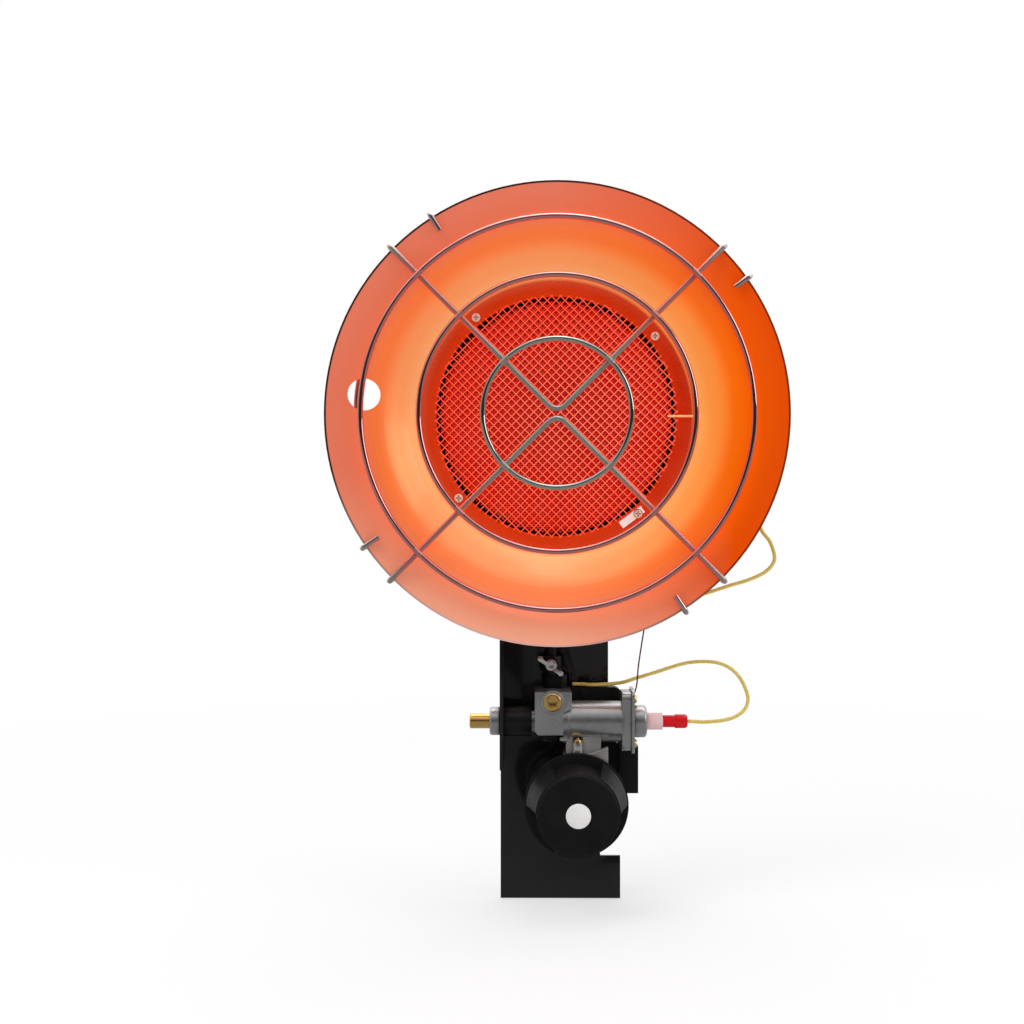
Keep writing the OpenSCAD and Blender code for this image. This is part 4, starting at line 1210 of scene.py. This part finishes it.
@dataclass
class Burner(Assembly):
    """The glowing burner: two wire cloths behind a plain ring, a plate and the pan behind them."""

    roundings: tuple[Rounding, ...] = (
        Rounding(("burner_ring", "ring_screws"), 0.15 * MM),
        Rounding(("orifice_holder",), 0.2 * MM),
    )
    slant: float = math.radians(45)
    crease: float = 75.0
    cloths: tuple[Cloth, ...] = (
        Cloth("mesh_front", 66.9 * MM, 0.33 * MM, 0.0, 6, 1),
        Cloth("mesh_rear", 64.3 * MM, 0.30 * MM, 0.5, 4, 0),
    )

    def build(self) -> None:
        """Weaves the cloths and rounds the edges of the burner's other parts."""
        for cloth in self.cloths:
            self.weave(cloth)
        self.soften()

    def weave(self, cloth: Cloth) -> None:
        """Weaves one cloth where the CAD has a plain disc.

        Args:
            cloth: The cloth's sizes.
        """
        low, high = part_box(self.nodes[cloth.node].name)
        centre = (low + high) / 2
        across = Vector((math.cos(self.slant), 0, math.sin(self.slant)))
        up = Vector((-across.z, 0, across.x))
        rows = int(cloth.radius / cloth.pitch)
        wires = Wires(f"{cloth.node}_weave")
        for axis, side, swing in ((across, up, cloth.wave), (up, across, -cloth.wave)):
            for row in range(-rows, rows + 1):
                place = (row + cloth.shift) * cloth.pitch
                if abs(place) >= cloth.radius - cloth.pitch / 2:
                    continue
                line = []
                for run in cloth.runs(place):
                    phase = run / cloth.pitch - cloth.shift + row
                    rise = Vector((0, swing * math.cos(math.pi * phase), 0))
                    line.append(centre + axis * run + side * place + rise)
                wires.lay(line)
        piece = wires.mesh(cloth.wire, cloth.resolution)
        self.settle(piece, "hot_wire_cloth", self.crease)
        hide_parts(cloth.node)
        LOG.info("%s has %d faces", piece.name, len(piece.data.polygons))


@dataclass
class Guard(Assembly):
    """The chromed wire guard and its hooks."""

    crease: float = 50.0

    def __post_init__(self) -> None:
        """Takes every piece of the guard, with smoothed wires and no rounded edges."""
        names = tuple(name for name in self.nodes if name.startswith("guard_"))
        self.roundings = (Rounding(names, 0.0, angle=self.crease),)


@dataclass
class Valve(Assembly):
    """The cast safety valve with its button, plugs, sensor terminal and outlet."""

    roundings: tuple[Rounding, ...] = (
        Rounding(("valve_body",), 0.5 * MM, 3),
        Rounding(("valve_end_plate", "valve_end_cap", "button_collar"), 0.35 * MM, 3),
        Rounding(
            ("valve_plug", "outlet_pillar", "pillar_screw", "flange_screws", "port_cap"), 0.2 * MM
        ),
        Rounding(("valve_spacer", "outlet_union", "tube_clamp"), 0.3 * MM),
        Rounding(("safety_button", "lead_terminal", "terminal_sleeve"), 0.3 * MM, 3),
        Rounding(("wing_screw",), 0.3 * MM),
    )


@dataclass
class Regulator(Assembly):
    """The regulator, its lobed knob and the cylinder connector behind it."""

    roundings: tuple[Rounding, ...] = (
        Rounding(("regulator_body",), 0.6 * MM, 3),
        Rounding(("pressure_knob",), 0.9 * MM, 3),
        Rounding(("knob_disc",), 0.15 * MM),
        Rounding(("bracket_nut", "inlet_nipple"), 0.4 * MM),
        Rounding(("coupling_nut",), 0.5 * MM),
    )


@dataclass
class Bracket(Assembly):
    """The folded steel bracket, its bolts, the tip switch and the burner's probe."""

    roundings: tuple[Rounding, ...] = (
        Rounding(("support_bracket",), 0.3 * MM),
        Rounding(("tip_switch",), 0.6 * MM, 3),
        Rounding(
            ("head_bolts", "switch_screws", "ring_bracket", "thermocouple", "thermocouple_nut"),
            0.15 * MM,
        ),
    )


class Tone(Enum):
    """Strengths of the studio's surroundings."""

    SKY = 1.0
    FRONT = 0.03
    SIDE = 0.42
    FILL = 0.62
    FLOOR = 0.9
    NEAR_FLOOR = 0.72


@dataclass(frozen=True)
class Lamp:
    """One soft square lamp: its place, aim, size, power and whether gloss mirrors it."""

    name: str
    place: Place
    aim: Place
    size: float
    power: float
    mirrored: bool = True


@dataclass
class Studio:
    """The camera, lamps, surroundings and floor."""

    camera_place: Place = (-0.0270, -0.8364, 0.1582)
    camera_turn: Place = (90.0, 0.0, 0.585)
    lens: float = 50.0
    sensor: float = 36.0
    nearest: float = 0.01
    floor_size: float = 24.0
    floor_drop: float = 0.3 * MM
    lamps: tuple[Lamp, ...] = (
        Lamp("key", (-0.9, -0.9, 1.5), (0, 0, 0.15), 0.9, 9.0, mirrored=False),
        Lamp("top", (0.1, 0.1, 1.6), (0, 0, 0.1), 1.2, 10.0),
        Lamp("right", (1.3, -0.7, 0.7), (0, 0, 0.12), 0.7, 3.0),
    )

    FROM_VIEWER = Span(-0.75, -0.15, Tone.FRONT.value, Tone.SIDE.value)
    TO_BACK = Span(0.05, 0.3, 0.0, Tone.SKY.value - Tone.SIDE.value)
    UPWARD = Span(0.35, 0.8, 0.0, 0.6)
    FLOOR_DIMS = Span(-0.1, 0.6, Tone.NEAR_FLOOR.value, 0.0)
    FLOOR_FADES = Span(0.05, 0.9, 0.55, 1.0)

    def build(self) -> None:
        """Builds the whole studio."""
        self.camera()
        for lamp in self.lamps:
            self.lamp(lamp)
        self.surroundings()
        self.floor()

    def camera(self) -> None:
        """Places the camera."""
        turn = [math.radians(angle) for angle in self.camera_turn]
        bpy.ops.object.camera_add(location=self.camera_place, rotation=turn)
        camera = bpy.context.object
        camera.data.lens = self.lens
        camera.data.sensor_width = self.sensor
        camera.data.clip_start = self.nearest
        bpy.context.scene.camera = camera

    def lamp(self, lamp: Lamp) -> None:
        """Hangs one lamp.

        Args:
            lamp: The lamp's place, aim, size and power.
        """
        aim = (Vector(lamp.aim) - Vector(lamp.place)).to_track_quat("-Z", "Y").to_euler()
        bpy.ops.object.light_add(type="AREA", location=lamp.place, rotation=aim)
        light = bpy.context.object
        light.name = f"lamp_{lamp.name}"
        light.data.size = lamp.size
        light.data.energy = lamp.power
        light.visible_glossy = lamp.mirrored

    def surroundings(self) -> None:
        """White all round the camera's view, darker behind the viewer for reflections."""
        world = bpy.data.worlds.new("studio")
        bpy.context.scene.world = world
        graph = Graph.of(world)
        place = graph.node("ShaderNodeTexCoord").outputs["Generated"]
        parts = graph.parts(place)
        side = graph.spread(parts[1], self.FROM_VIEWER)
        behind = graph.spread(parts[1], self.TO_BACK)
        lift = graph.spread(parts[2], self.UPWARD)
        seen = graph.math("ADD", graph.math("ADD", side, behind), lift)
        rays = graph.node("ShaderNodeLightPath").outputs
        mirror = graph.math("MAXIMUM", rays["Is Glossy Ray"], rays["Is Transmission Ray"])
        fill = Tone.FILL.value
        level = graph.math("ADD", fill, graph.times(mirror, graph.math("SUBTRACT", seen, fill)))
        level = graph.math("MAXIMUM", level, rays["Is Camera Ray"])
        sky = graph.node("ShaderNodeBackground", {"Color": rgba(WHITE), "Strength": level})
        graph.node("ShaderNodeOutputWorld", {0: sky.outputs[0]})

    def floor(self) -> None:
        """A pale floor just under the bracket's foot, which keeps the shadow."""
        low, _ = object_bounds()
        place = (0, 0, low.z - self.floor_drop)
        bpy.ops.mesh.primitive_plane_add(size=self.floor_size, location=place)
        floor = bpy.context.object
        floor.name = floor.data.name = "studio_floor"
        bpy.ops.object.transform_apply(location=True, rotation=True, scale=True)
        floor.data.materials.append(self.floor_material())
        floor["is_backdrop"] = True

    def floor_material(self) -> bpy.types.Material:
        """Makes the floor's material, which is white to the camera and dimmer in reflections.

        Returns:
            The material.
        """
        material = bpy.data.materials.new("studio_floor")
        graph = Graph.of(material)
        place = graph.place()
        distance = graph.node("ShaderNodeVectorMath", {0: place}, operation="LENGTH")
        matt = graph.node("ShaderNodeBsdfDiffuse", {"Color": rgba((Tone.FLOOR.value,) * 3)})
        rays = graph.node("ShaderNodeLightPath").outputs
        dim = graph.times(rays["Is Glossy Ray"], graph.spread(graph.depth(), self.FLOOR_DIMS))
        level = graph.math("SUBTRACT", 1.0, dim)
        glow = graph.node("ShaderNodeEmission", {"Color": rgba(WHITE), "Strength": level})
        seen = graph.math("MAXIMUM", rays["Is Camera Ray"], rays["Is Transmission Ray"])
        fade = graph.spread(distance.outputs["Value"], self.FLOOR_FADES)
        share = graph.math("MAXIMUM", graph.times(seen, fade), rays["Is Glossy Ray"])
        inputs = {0: share, 1: matt.outputs[0], 2: glow.outputs[0]}
        cover = graph.node("ShaderNodeMixShader", inputs)
        graph.node("ShaderNodeOutputMaterial", {0: cover.outputs[0]})
        return material


def main() -> None:
    """Builds the heater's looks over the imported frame."""
    logging.basicConfig(level=logging.INFO, format="%(message)s")
    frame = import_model()
    bpy.context.scene.view_settings.view_transform = "Standard"
    paint = Paintshop()
    paint.dress_frame(frame)
    for kind in (Leads, Burner, Guard, Valve, Regulator, Bracket):
        kind(frame, paint).build()
        LOG.info("%s is built", kind.__name__)
    Studio().build()


if __name__ == "__main__":
    main()
